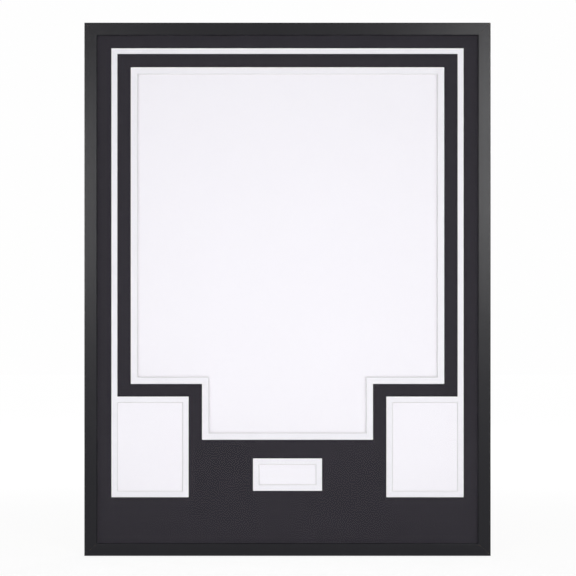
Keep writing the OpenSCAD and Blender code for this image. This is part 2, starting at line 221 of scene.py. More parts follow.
@dataclass
class Surface:
    """A mesh as whole arrays, in millimetres.

    Attributes:
        points: One row of x, y and z for each point.
        faces: One row of four point numbers for each face.
        finishes: The number of each face's finish.
    """

    points: np.ndarray
    faces: np.ndarray
    finishes: np.ndarray

    @staticmethod
    def from_grid(grid: np.ndarray, wrap_rows: bool, wrap_columns: bool) -> "Surface":
        """Joins a grid of points into four-sided faces.

        Face (i, j) has the corners (i, j), (i + 1, j), (i + 1, j + 1) and (i, j + 1). Where the grid wraps,
        the number after the last is the first.

        Args:
            grid: Points as an array of rows, columns and three coordinates.
            wrap_rows: True if the last row joins the first.
            wrap_columns: True if the last column joins the first.

        Returns:
            The surface, with one finish.
        """
        rows, columns = grid.shape[:2]
        i = np.arange(rows if wrap_rows else rows - 1)[:, None]
        j = np.arange(columns if wrap_columns else columns - 1)[None, :]
        next_i, next_j = (i + 1) % rows, (j + 1) % columns
        corners = [a * columns + b for a, b in ((i, j), (next_i, j), (next_i, next_j), (i, next_j))]
        faces = np.stack(np.broadcast_arrays(*corners), axis=-1).reshape(-1, 4)
        return Surface(grid.reshape(-1, 3), faces, np.zeros(len(faces), int))

    @staticmethod
    def round_the_axis(radius: np.ndarray, height: np.ndarray, steps: int) -> "Surface":
        """Turns a profile about the Y axis: X and Z are the radius times the angle's cosine and sine.

        Args:
            radius: Radius of every row, the same all round or one for each step.
            height: Height of every row, along Y.
            steps: Steps once round.

        Returns:
            The surface, whose first and last row are poles.
        """
        angle = once_round(steps)
        grid = np.stack([radius * np.cos(angle), height + 0 * angle, radius * np.sin(angle)], axis=-1)
        return Surface.from_grid(grid, wrap_rows=False, wrap_columns=True)

    @staticmethod
    def joined(parts: list["Surface"]) -> "Surface":
        """Puts several surfaces into one, with their points renumbered in turn.

        Args:
            parts: The surfaces.

        Returns:
            One surface.
        """
        starts = np.cumsum([0] + [len(p.points) for p in parts[:-1]])
        return Surface(
            np.concatenate([p.points for p in parts]),
            np.concatenate([p.faces + start for p, start in zip(parts, starts)]),
            np.concatenate([p.finishes for p in parts]),
        )

    def used(self) -> "Surface":
        """Drops the points that no face uses, and renumbers the faces."""
        kept, numbers = np.unique(self.faces, return_inverse=True)
        return Surface(self.points[kept], numbers.reshape(self.faces.shape), self.finishes)

    def moved(self, place: Point, angle: float = 0.0) -> "Surface":
        """Turns the surface about the Y axis, and then moves it.

        X becomes X times the cosine plus Z times the sine, and Z becomes Z times the cosine less X times
        the sine.

        Args:
            place: Where the surface's origin goes.
            angle: The angle, in degrees.

        Returns:
            The moved surface.
        """
        cosine, sine = math.cos(math.radians(angle)), math.sin(math.radians(angle))
        x, y, z = self.points.T
        turned = np.stack([x * cosine + z * sine, y, z * cosine - x * sine], axis=-1)
        return Surface(turned + np.array(place), self.faces, self.finishes)

    def piece(self, name: str, materials: Materials, smooth_below: float) -> bpy.types.Object:
        """Makes the surface an object at the origin, closed, with its faces outwards.

        Args:
            name: Name of the object and its mesh.
            materials: Materials, in the order of the finish numbers.
            smooth_below: Edges that bend by less than this angle, in degrees, are shaded smooth.

        Returns:
            The object, linked to the scene.
        """
        mesh = bpy.data.meshes.new(name)
        mesh.from_pydata((self.points * MM).tolist(), [], self.faces.tolist())
        mesh.polygons.foreach_set("material_index", self.finishes.astype(np.int32))
        return finished_object(name, mesh, materials, smooth_below, turn_outwards=True)


def finished_object(
    name: str, mesh: bpy.types.Mesh, materials: Materials, smooth_below: float, turn_outwards: bool
) -> bpy.types.Object:
    """Merges a mesh's doubles, gives it its materials and shading, and links its object to the scene.

    Points that coincide, as at a pole, are merged before the faces are turned outwards.

    Args:
        name: Name of the object.
        mesh: The mesh, in metres, in the frame of the case.
        materials: Materials, in the order of the faces' material numbers.
        smooth_below: Edges that bend by less than this angle, in degrees, are shaded smooth.
        turn_outwards: True if the faces still have to be turned outwards.

    Returns:
        The object, at the origin.
    """
    shape = bmesh.new()
    shape.from_mesh(mesh)
    bmesh.ops.remove_doubles(shape, verts=shape.verts, dist=WELD)
    if turn_outwards:
        bmesh.ops.recalc_face_normals(shape, faces=shape.faces)
    shape.to_mesh(mesh)
    shape.free()
    for material in materials:
        mesh.materials.append(material)
    mesh.shade_smooth()
    mesh.set_sharp_from_angle(angle=math.radians(smooth_below))
    piece = bpy.data.objects.new(name, mesh)
    bpy.context.scene.collection.objects.link(piece)
    return piece


def settled(piece: bpy.types.Object, body: str, node: str) -> None:
    """Makes a piece ride on a body and take the place of its node.

    Args:
        piece: The finished piece.
        body: Body that the piece moves with.
        node: Node that the piece stands for.
    """
    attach(piece, body)
    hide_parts(node)
    log.info("%s: %d faces on %s", piece.name, len(piece.data.polygons), body)


def dress_node(name: str, material: bpy.types.Material) -> None:
    """Gives one of the frame's own nodes a material, with its mesh as it is.

    Args:
        name: Name of the node.
        material: The material.
    """
    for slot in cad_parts[name].material_slots:
        slot.material = material
    log.info("%s: %s", name, material.name)


def once_round(steps: int) -> np.ndarray:
    """Angles once round in equal steps, as one row."""
    return np.linspace(0.0, 2 * np.pi, steps, endpoint=False)[None, :]


def arc(centre: tuple[float, float], radius: float, start: float, end: float, steps: int) -> np.ndarray:
    """Points on a circle between two angles: the centre plus the radius times cosine and sine.

    Args:
        centre: First and second coordinate of the centre.
        radius: Radius of the circle.
        start: First angle, in degrees.
        end: Last angle, in degrees.
        steps: Number of steps from the first point to the last.

    Returns:
        One row of two coordinates for each point, both ends included.
    """
    angle = np.radians(np.linspace(start, end, steps + 1))
    return np.stack([centre[0] + radius * np.cos(angle), centre[1] + radius * np.sin(angle)], axis=-1)


# Nodes of the finishes


class Noise(NamedTuple):
    """A noise: its features in a metre, its number of finer layers, and how far it is warped by itself."""

    scale: float | Socket
    detail: float = 2.0
    warp: float = 0.0


class Bench:
    """Places and joins the nodes of one node tree."""

    def __init__(self, tree: bpy.types.NodeTree) -> None:
        """Takes a node tree and clears it."""
        self.tree = tree
        tree.nodes.clear()

    def put(self, kind: str, inputs: dict[str | int, Any] | None = None, **settings: Any) -> bpy.types.Node:
        """Adds one node.

        Args:
            kind: Blender's name for the kind of node.
            inputs: A socket to join, or a plain value, for each input by name or number. A colour has
                three numbers.
            **settings: Values of the node's own properties.

        Returns:
            The node.
        """
        node = self.tree.nodes.new(kind)
        for name, value in settings.items():
            setattr(node, name, value)
        for name, value in (inputs or {}).items():
            socket = node.inputs[name]
            if isinstance(value, Socket):
                self.tree.links.new(value, socket)
            else:
                socket.default_value = (*value, 1.0) if socket.type == "RGBA" else value
        return node

    def first(self, kind: str, inputs: dict[str | int, Any], **settings: Any) -> Socket:
        """Adds one node and gives its first output."""
        return self.put(kind, inputs, **settings).outputs[0]

    def math(self, operation: str, first: Any, second: Any = 0.0, clamp: bool = False) -> Socket:
        """Works out one sum from two sockets or numbers, kept between 0 and 1 if clamp is True."""
        return self.first("ShaderNodeMath", {0: first, 1: second}, operation=operation, use_clamp=clamp)

    def times(self, first: Any, second: Any) -> Socket:
        """Multiplies two values, each a socket or a number."""
        return self.math("MULTIPLY", first, second)

    def plus(self, first: Any, second: Any, clamp: bool = False) -> Socket:
        """Adds two values, each a socket or a number."""
        return self.math("ADD", first, second, clamp)

    def less(self, first: Any, second: Any) -> Socket:
        """Takes the second value from the first, each a socket or a number."""
        return self.math("SUBTRACT", first, second)

    def mix(self, share: Any, first: Any, second: Any) -> Socket:
        """Mixes two colours, each a socket or three numbers, with the given share of the second."""
        return self.put("ShaderNodeMix", {0: share, 6: first, 7: second}, data_type="RGBA").outputs[2]

    def between(
        self, value: Socket, low: float, high: float, to_low: float = 0.0, to_high: float = 1.0
    ) -> Socket:
        """Runs a value smoothly from one range into another, and flat beyond both ends."""
        inputs = {0: value, 1: low, 2: high, 3: to_low, 4: to_high}
        return self.first("ShaderNodeMapRange", inputs, interpolation_type="SMOOTHSTEP")

    def noise(self, place: Socket, noise: Noise) -> Socket:
        """Adds a noise on coordinates in metres, and gives its value."""
        inputs = {"Vector": place, "Scale": noise.scale, "Detail": noise.detail, "Distortion": noise.warp}
        return self.first("ShaderNodeTexNoise", inputs)

    def stretched(self, place: Socket, factors: Factors) -> Socket:
        """Multiplies coordinates by a factor along each axis, so that a pattern runs along an axis."""
        return self.first("ShaderNodeVectorMath", {0: place, 1: factors}, operation="MULTIPLY")

    def bump(self, height: Socket, rise: float, strength: float) -> Socket:
        """Turns a height from 0 to 1, where 1 is a rise in millimetres, into a normal."""
        return self.first("ShaderNodeBump", {"Height": height, "Distance": rise * MM, "Strength": strength})


class GroupBench(Bench):
    """The bench of one node group, which takes coordinates and gives values."""

    def __init__(self, name: str, numbers: dict[str, float] | None = None) -> None:
        """Starts the group, with its inputs.

        Args:
            name: Name of the group.
            numbers: Value at the start, for each input after the coordinates by name.
        """
        super().__init__(bpy.data.node_groups.new(name, "ShaderNodeTree"))
        self._socket("Place", "INPUT", "NodeSocketVector")
        for label, number in (numbers or {}).items():
            self._socket(label, "INPUT", "NodeSocketFloat").default_value = number
        self.given = self.put("NodeGroupInput").outputs

    def _socket(self, label: str, side: str, kind: str) -> bpy.types.NodeTreeInterfaceSocket:
        """Adds a socket to the group itself."""
        return self.tree.interface.new_socket(label, in_out=side, socket_type=kind)

    def close(self, results: dict[str, Socket]) -> bpy.types.NodeTree:
        """Adds the group's outputs.

        Args:
            results: A socket for each output by name.

        Returns:
            The finished group.
        """
        for label in results:
            self._socket(label, "OUTPUT", "NodeSocketFloat")
        self.put("NodeGroupOutput", results)
        return self.tree


@dataclass(frozen=True)
class PaperTooth:
    """The felt side of a paper: fine fibres laid every way, and a soft cloudiness where they gather.

    The group takes how many fibres lie in a metre, for the fine noise and the strands alike.
    """

    fine: Noise = Noise(1.0, 4.0, 0.6)
    strands: Noise = Noise(1.0, 3.0, 2.2)
    strand_run: Factors = (1.0, 1.0, 0.28)
    strand_step: Step = (0.60, 0.72)
    clouds: Noise = Noise(22.0, 4.0, 0.3)
    fine_height: float = 0.7
    strand_height: float = 0.3

    def build(self) -> bpy.types.NodeTree:
        """Builds the group.

        Returns:
            A group with a height, a mask of single fibres and a cloudiness, all from 0 to 1.
        """
        bench = GroupBench("paper_tooth", {"Fibres in a metre": 1500.0})
        place, scale = bench.given["Place"], bench.given["Fibres in a metre"]
        fine = bench.noise(place, self.fine._replace(scale=scale))
        strand = bench.noise(bench.stretched(place, self.strand_run), self.strands._replace(scale=scale))
        single = bench.between(strand, *self.strand_step)
        clouds = bench.noise(place, self.clouds)
        height = bench.plus(bench.times(fine, self.fine_height), bench.times(single, self.strand_height))
        return bench.close({"Height": height, "Fibres": single, "Clouds": clouds})


@dataclass(frozen=True)
class WoodGrain:
    """The grain of a plain hardwood. It takes coordinates whose first axis runs along the grain."""

    drift: Noise = Noise(60.0)
    drift_run: Factors = (0.05, 1.0, 1.0)
    drift_phase: float = 3.0
    ring_run: Factors = (0.045, 1.0, 0.75)
    ring_height: float = 0.4
    pores: Noise = Noise(2600.0)
    pore_run: Factors = (0.03, 1.0, 1.0)
    pore_step: Step = (0.52, 0.66)
    pore_height: float = -0.6

    def build(self) -> bpy.types.NodeTree:
        """Builds the group.

        Returns:
            A group with the growth rings and the fine pores, both from 0 to 1, and a height.
        """
        bench = GroupBench("wood_grain")
        place = bench.given["Place"]
        drift = bench.noise(bench.stretched(place, self.drift_run), self.drift)
        waves = {
            "Vector": bench.stretched(place, self.ring_run),
            "Scale": 52.0,
            "Distortion": 5.0,
            "Detail": 3.0,
            "Detail Scale": 1.4,
            "Phase Offset": bench.times(drift, self.drift_phase),
        }
        wave = bench.put("ShaderNodeTexWave", waves, wave_type="BANDS", bands_direction="DIAGONAL")
        rings = wave.outputs["Fac"]
        pores = bench.between(bench.noise(bench.stretched(place, self.pore_run), self.pores), *self.pore_step)
        height = bench.plus(bench.times(rings, self.ring_height), bench.times(pores, self.pore_height))
        return bench.close({"Rings": rings, "Pores": pores, "Height": height})


@dataclass(frozen=True)
class Plating:
    """Bright plating on pressed steel: a fine mottle, tumbling scratches and a thin stain."""

    mottle: Noise = Noise(1400.0, 4.0, 0.4)
    mottle_height: float = 0.6
    scratch_angle: float = 0.7
    scratch_run: Factors = (1.0, 0.4, 0.06)
    scratches: Noise = Noise(5200.0)
    scratch_step: Step = (0.60, 0.70)
    scratch_depth: float = 0.4
    stain: Noise = Noise(260.0, 3.0, 1.2)
    stain_step: Step = (0.45, 0.75)

    def build(self) -> bpy.types.NodeTree:
        """Builds the group.

        Returns:
            A group with the mottle, the scratches and the stain, all from 0 to 1, and a height.
        """
        bench = GroupBench("plating")
        place = bench.given["Place"]
        mottle = bench.noise(place, self.mottle)
        rotation = {"Vector": place, "Angle": self.scratch_angle}
        turned = bench.first("ShaderNodeVectorRotate", rotation, rotation_type="Y_AXIS")
        lines = bench.noise(bench.stretched(turned, self.scratch_run), self.scratches)
        scratches = bench.between(lines, *self.scratch_step)
        stain = bench.between(bench.noise(place, self.stain), *self.stain_step)
        sunk = bench.times(scratches, self.scratch_depth)
        height = bench.less(bench.times(mottle, self.mottle_height), sunk)
        return bench.close({"Mottle": mottle, "Scratches": scratches, "Stain": stain, "Height": height})


@dataclass(frozen=True)
class Dust:
    """A thin film that settles in loose patches. How much of it lies there is an input of the group."""

    patches: Noise = Noise(34.0, 5.0, 0.5)
    patch_step: Step = (0.42, 0.78)
    specks: Noise = Noise(900.0, 3.0)
    speck_step: Step = (0.50, 0.72)
    speck_share: float = 0.6
    film_share: float = 0.4

    def build(self) -> bpy.types.NodeTree:
        """Builds the group.

        Returns:
            A group with the film's cover, from 0 to 1.
        """
        bench = GroupBench("dust", {"Amount": 0.5})
        place = bench.given["Place"]
        patches = bench.between(bench.noise(place, self.patches), *self.patch_step)
        specks = bench.between(bench.noise(place, self.specks), *self.speck_step)
        film = bench.times(patches, bench.plus(bench.times(specks, self.speck_share), self.film_share))
        return bench.close({"Cover": bench.math("MULTIPLY", film, bench.given["Amount"], clamp=True)})


class Effect(Enum):
    """The effects that several finishes share."""

    PAPER = PaperTooth()
    GRAIN = WoodGrain()
    PLATING = Plating()
    DUST = Dust()


@cache
def group_of(effect: Effect) -> bpy.types.NodeTree:
    """The node group of an effect, built the first time that it is asked for."""
    return effect.value.build()


class MaterialBench(Bench):
    """The bench of one material, with the coordinates on the case, in metres."""

    def __init__(self, name: str) -> None:
        """Starts the material.

        Args:
            name: Name of the material.
        """
        self.material = bpy.data.materials.new(name)
        self.material.use_nodes = True
        super().__init__(self.material.node_tree)
        self.place = self.put("ShaderNodeTexCoord").outputs["Object"]

    def effect(
        self, effect: Effect, number: float | None = None, place: Socket | None = None
    ) -> bpy.types.NodeOutputs:
        """Places the node group of a shared effect.

        Args:
            effect: The effect.
            number: The effect's own number, for one that takes a number.
            place: Coordinates, if not those on the case.

        Returns:
            The outputs, by name.
        """
        inputs: dict[str | int, Any] = {0: self.place if place is None else place}
        if number is not None:
            inputs[1] = number
        return self.put("ShaderNodeGroup", inputs, node_tree=group_of(effect)).outputs

    def show(self, shader: Socket) -> bpy.types.Material:
        """Joins a shader to the output, and gives the finished material."""
        self.put("ShaderNodeOutputMaterial", {"Surface": shader})
        return self.material

    def close(
        self, base: Socket, rough: Socket, normal: Socket, shine: float = 0.5, metal: float = 0.0
    ) -> bpy.types.Material:
        """Adds the Principled shader and the output.

        Args:
            base: Base colour.
            rough: Roughness.
            normal: Normal.
            shine: Specular level, where 0.5 is a plain gloss.
            metal: 1 for metal, 0 for all else.

        Returns:
            The finished material.
        """
        inputs = {"Base Color": base, "Roughness": rough, "Normal": normal}
        inputs |= {"Specular IOR Level": shine, "Metallic": metal}
        return self.show(self.first("ShaderNodeBsdfPrincipled", inputs))


def shade(colour: Colour, share: float) -> Colour:
    """A colour times a share: darker below 1, lighter above."""
    return tuple(part * share for part in colour)


# Finishes


class Run(Enum):
    """Which way a length of moulding runs."""

    LEVEL = "level"
    UPRIGHT = "upright"


@dataclass(frozen=True)
class LacqueredWood:
    """Black satin lacquer on a hardwood moulding, whose back, rabbet and mitres are left raw.

    The distance in from the outer edge and the depth say where the lacquer ends. It covers the face, the
    lip and the outside, and runs a few millimetres round onto the back with a ragged edge. Two lengths meet
    where their distances in are the same, and a hairline shows there.
    """

    run: Run
    sizes: CaseSizes
    lacquer: Colour = (0.0036, 0.0033, 0.0054)
    lighter: float = 1.35
    film: Noise = Noise(9.0, 3.0)
    flow: Noise = Noise(420.0)
    flow_height: float = 0.25
    wood: Colour = (0.68, 0.52, 0.335)
    late_wood: Colour = (0.54, 0.38, 0.22)
    pore_shade: float = 0.55
    pore_share: float = 0.55
    telegraphed: float = 0.2
    overspray: float = 2.4
    feather: float = 3.0
    ragged: float = 4.5
    ragged_edge: Noise = Noise(110.0, 3.0)
    back_skin: float = 0.25
    skin: float = 0.1
    lip_feather: float = 1.2
    mitre_skin: float = 0.02
    seam_half: float = 0.2
    seam_core: float = 0.3
    seam_depth: float = 0.12
    roughness: float = 0.25
    film_roughness: float = 0.05
    raw_roughness: float = 0.32
    relief: float = 0.05
    bump: float = 0.55
    shine: float = 0.225

    def make(self) -> bpy.types.Material:
        """Builds the material.

        Returns:
            The material.
        """
        bench = MaterialBench(f"lacquered_wood_{self.run.value}")
        level = self.run is Run.LEVEL
        x, y, z = bench.put("ShaderNodeSeparateXYZ", {0: bench.place}).outputs
        distances = self._distances_in(bench, x, z)
        from_mitre = bench.math("ABSOLUTE", bench.less(distances[Run.UPRIGHT], distances[Run.LEVEL]))
        core, edge = self.seam_half * self.seam_core * MM, self.seam_half * MM
        seam = bench.between(from_mitre, core, edge, 1.0, 0.0)
        raw = self._raw_wood(bench, distances[self.run], from_mitre, y)

        turned = {0: x if level else z, 1: y, 2: z if level else x}
        grain = bench.effect(Effect.GRAIN, place=bench.first("ShaderNodeCombineXYZ", turned))
        rings = bench.mix(grain["Rings"], self.wood, self.late_wood)
        pores = bench.times(grain["Pores"], self.pore_share)
        bare = bench.mix(pores, rings, shade(self.late_wood, self.pore_shade))
        film = bench.noise(bench.place, self.film)
        lacquered = bench.mix(film, self.lacquer, shade(self.lacquer, self.lighter))
        base = bench.mix(raw, lacquered, bare)

        satin = bench.plus(
            bench.times(film, self.film_roughness), self.roughness - self.film_roughness / 2
        )
        dull = bench.math("MAXIMUM", raw, seam)
        rough = bench.plus(satin, bench.times(dull, self.raw_roughness), clamp=True)

        flow = bench.noise(bench.place, self.flow)
        pressed = bench.times(grain["Height"], bench.between(raw, 0.0, 1.0, self.telegraphed, 1.0))
        flowed = bench.times(flow, bench.between(raw, 0.0, 1.0, self.flow_height, 0.0))
        groove = bench.times(seam, self.seam_depth / self.relief)
        height = bench.less(bench.plus(pressed, flowed), groove)
        return bench.close(base, rough, bench.bump(height, self.relief, self.bump), self.shine)

    def _distances_in(self, bench: Bench, x: Socket, z: Socket) -> dict[Run, Socket]:
        """Distances from the moulding's outer edges: half the size less the distance from the middle.

        Args:
            bench: Bench of the material.
            x: Position to the right.
            z: Height.

        Returns:
            The distance across an upright length and the one across a level length, in metres.
        """
        middle = self.sizes.outer_h / 2 * MM
        from_middle = bench.math("ABSOLUTE", bench.less(z, middle))
        return {
            Run.UPRIGHT: bench.less(self.sizes.outer_w / 2 * MM, bench.math("ABSOLUTE", x)),
            Run.LEVEL: bench.less(middle, from_middle),
        }

    def _raw_wood(self, bench: MaterialBench, across: Socket, from_mitre: Socket, y: Socket) -> Socket:
        """Where the wood is raw: on the back past the overspray, in the rabbet and on the mitres.

        Args:
            bench: Bench of the material.
            across: Distance in from the outer edge, in metres.
            from_mitre: Distance from the mitre's plane, in metres.
            y: Depth, in metres.

        Returns:
            A mask from 0 for lacquer to 1 for raw wood.
        """
        sizes = self.sizes
        ragged = bench.times(bench.noise(bench.place, self.ragged_edge), self.ragged * MM)
        past = bench.less(across, ragged)
        past_spray = bench.between(past, (self.overspray - self.feather) * MM, self.overspray * MM)
        on_back = bench.math("GREATER_THAN", y, (sizes.back_y - self.back_skin) * MM)
        back = bench.times(past_spray, on_back)
        lip_back, feathered = sizes.glazing_y - self.skin, sizes.glazing_y + self.lip_feather
        behind_lip = bench.between(y, lip_back * MM, feathered * MM)
        inside = bench.math("GREATER_THAN", across, (sizes.wall - self.skin) * MM)
        rabbet = bench.times(behind_lip, inside)
        mitre = bench.math("LESS_THAN", from_mitre, self.mitre_skin * MM)
        return bench.math("MAXIMUM", mitre, bench.math("MAXIMUM", back, rabbet))


@dataclass(frozen=True)
class Paper:
    """A paper face, with its fibres and a faint cloudiness."""

    name: str
    colour: Colour
    fibre_colour: Colour
    fibre_share: float = 0.12
    cloud_share: float = 0.03
    fibres_in_a_metre: float = 1500.0
    tooth: float = 0.035
    shine: float = 0.2
    cloud_shade: float = 0.6
    roughness: Step = (0.80, 0.92)
    bump: float = 0.7

    def make(self) -> bpy.types.Material:
        """Builds the material.

        Returns:
            The material.
        """
        bench = MaterialBench(self.name)
        paper = bench.effect(Effect.PAPER, self.fibres_in_a_metre)
        fibres = bench.times(paper["Fibres"], self.fibre_share)
        fibrous = bench.mix(fibres, self.colour, self.fibre_colour)
        clouds = bench.times(paper["Clouds"], self.cloud_share)
        base = bench.mix(clouds, fibrous, shade(self.colour, self.cloud_shade))
        rough = bench.between(paper["Height"], 0.0, 1.0, *self.roughness)
        normal = bench.bump(paper["Height"], self.tooth, self.bump)
        return bench.close(base, rough, normal, self.shine)


@dataclass(frozen=True)
class CutCore:
    """The cut edge of a board's core: pulp drawn out by the blade, or the open cells of foam. The cells'
    hollows carry a little painted shade.
    """

    name: str
    colour: Colour
    cells_in_a_metre: float
    depth: float
    hollow_step: Step = (0.1, 0.7)
    # Painted shade in the cells' hollows: how much darker they are drawn, and how much of that is mixed in.
    painted_pit_shade: float = 0.7
    painted_pit_shade_share: float = 0.05
    dust_amount: float = 0.15
    dust_share: float = 0.3
    dust: Colour = (0.6, 0.58, 0.55)
    roughness: Step = (0.75, 0.88)
    bump: float = 0.6
    shine: float = 0.2

    def make(self) -> bpy.types.Material:
        """Builds the material.

        Returns:
            The material.
        """
        bench = MaterialBench(self.name)
        cells = bench.first("ShaderNodeTexVoronoi", {"Vector": bench.place, "Scale": self.cells_in_a_metre})
        hollow = bench.between(cells, *self.hollow_step)
        # Painted shade: the hollows of the cells are darkened in colour, as if shade fell in them.
        darker = shade(self.colour, self.painted_pit_shade)
        shaded = bench.mix(bench.times(hollow, self.painted_pit_shade_share), self.colour, darker)
        cover = bench.times(bench.effect(Effect.DUST, self.dust_amount)["Cover"], self.dust_share)
        base = bench.mix(cover, shaded, self.dust)
        rough = bench.between(hollow, 0.0, 1.0, *self.roughness)
        return bench.close(base, rough, bench.bump(hollow, self.depth, self.bump), self.shine)


@dataclass(frozen=True)
class Hardboard:
    """Brown fibreboard, pressed smooth, with its longer fibres and dark flecks."""

    colour: Colour = (0.245, 0.135, 0.068)
    mottle_step: Step = (0.3, 0.7, 0.0, 0.35)
    mottle_shade: float = 0.72
    fibres_in_a_metre: float = 620.0
    long_fibres: Noise = Noise(900.0, 3.0, 1.6)
    long_fibre_run: Factors = (0.22, 1.0, 1.0)
    pale_step: Step = (0.54, 0.70)
    pale_share: float = 0.4
    pale_fibre: Colour = (0.40, 0.26, 0.15)
    flecks: Noise = Noise(480.0, 2.0, 1.4)
    fleck_step: Step = (0.66, 0.74)
    fleck_share: float = 0.7
    fleck: Colour = (0.085, 0.042, 0.022)
    dust_amount: float = 0.10
    dust: Colour = (0.42, 0.37, 0.32)
    roughness: Step = (0.46, 0.66)
    relief: float = 0.06
    bump: float = 0.5
    shine: float = 0.35

    def make(self) -> bpy.types.Material:
        """Builds the material.

        Returns:
            The material.
        """
        bench = MaterialBench("hardboard")
        paper = bench.effect(Effect.PAPER, self.fibres_in_a_metre)
        mottle = bench.between(paper["Clouds"], *self.mottle_step)
        mottled = bench.mix(mottle, self.colour, shade(self.colour, self.mottle_shade))
        long_fibres = bench.noise(bench.stretched(bench.place, self.long_fibre_run), self.long_fibres)
        pale = bench.times(bench.between(long_fibres, *self.pale_step), self.pale_share)
        fibrous = bench.mix(pale, mottled, self.pale_fibre)
        flecks = bench.between(bench.noise(bench.place, self.flecks), *self.fleck_step)
        flecked = bench.mix(bench.times(flecks, self.fleck_share), fibrous, self.fleck)
        base = bench.mix(bench.effect(Effect.DUST, self.dust_amount)["Cover"], flecked, self.dust)
        rough = bench.between(paper["Height"], 0.0, 1.0, *self.roughness)
        return bench.close(base, rough, bench.bump(paper["Height"], self.relief, self.bump), self.shine)


@dataclass(frozen=True)
class PlatedSteel:
    """Steel with a bright or dark plating."""

    name: str
    colour: Colour
    stain: Colour
    stain_share: float = 0.35
    roughness: float = 0.3
    mottle_step: Step = (0.3, 0.7, 0.0, 0.22)
    mottle_shade: float = 0.75
    uneven_step: Step = (0.2, 0.8)
    smoother: float = 0.06
    rougher: float = 0.1
    scratch_roughness: float = 0.18
    dust_amount: float = 0.25
    dust_roughness: float = 0.25
    relief: float = 0.008
    bump: float = 0.4

    def make(self) -> bpy.types.Material:
        """Builds the material.

        Returns:
            The material.
        """
        bench = MaterialBench(self.name)
        plating = bench.effect(Effect.PLATING)
        stained = bench.mix(bench.times(plating["Stain"], self.stain_share), self.colour, self.stain)
        mottle = bench.between(plating["Mottle"], *self.mottle_step)
        base = bench.mix(mottle, stained, shade(self.colour, self.mottle_shade))
        low, high = self.roughness - self.smoother, self.roughness + self.rougher
        uneven = bench.between(plating["Mottle"], *self.uneven_step, low, high)
        cover = bench.effect(Effect.DUST, self.dust_amount)["Cover"]
        filmed = bench.plus(uneven, bench.times(cover, self.dust_roughness))
        worn = bench.times(plating["Scratches"], self.scratch_roughness)
        rough = bench.plus(filmed, worn, clamp=True)
        return bench.close(base, rough, bench.bump(plating["Height"], self.relief, self.bump), metal=1.0)


@dataclass(frozen=True)
class Rubber:
    """Moulded rubber, matt, with a fine bloom."""

    colour: Colour = (0.028, 0.027, 0.027)
    bloom: Colour = (0.12, 0.118, 0.112)
    bloom_amount: float = 0.6
    pebble: Noise = Noise(2200.0, 3.0)
    roughness: Step = (0.2, 0.8, 0.55, 0.75)
    relief: float = 0.03
    bump: float = 0.5
    shine: float = 0.4

    def make(self) -> bpy.types.Material:
        """Builds the material.

        Returns:
            The material.
        """
        bench = MaterialBench("rubber")
        bloom = bench.effect(Effect.DUST, self.bloom_amount)["Cover"]
        base = bench.mix(bloom, self.colour, self.bloom)
        pebble = bench.noise(bench.place, self.pebble)
        rough = bench.between(pebble, *self.roughness)
        return bench.close(base, rough, bench.bump(pebble, self.relief, self.bump), self.shine)


@dataclass(frozen=True)
class ClearPlastic:
    """Coated clear acrylic. It lets light through and mirrors little, more at a low angle.

    The share mirrored is the face-on share plus a rise with the fifth power of how edge-on it is seen.
    """

    mirrored_face_on: float = 0.007
    mirrored_edge_on: float = 0.6
    power: float = 5.0
    tint: Colour = (0.992, 0.995, 0.994)
    dust_amount: float = 0.5
    roughness: Step = (0.02, 0.12)

    def make(self) -> bpy.types.Material:
        """Builds the material.

        Returns:
            The material.
        """
        bench = MaterialBench("clear_plastic")
        facing = bench.put("ShaderNodeLayerWeight", {"Blend": 0.5}).outputs["Facing"]
        rise = bench.times(bench.math("POWER", facing, self.power), self.mirrored_edge_on)
        share = bench.plus(rise, self.mirrored_face_on)
        cover = bench.effect(Effect.DUST, self.dust_amount)["Cover"]
        rough = bench.between(cover, 0.0, 1.0, *self.roughness)
        mirror = bench.first("ShaderNodeBsdfGlossy", {"Color": (1.0, 1.0, 1.0), "Roughness": rough})
        through = bench.first("ShaderNodeBsdfTransparent", {"Color": self.tint})
        return bench.show(bench.first("ShaderNodeMixShader", {0: share, 1: through, 2: mirror}))


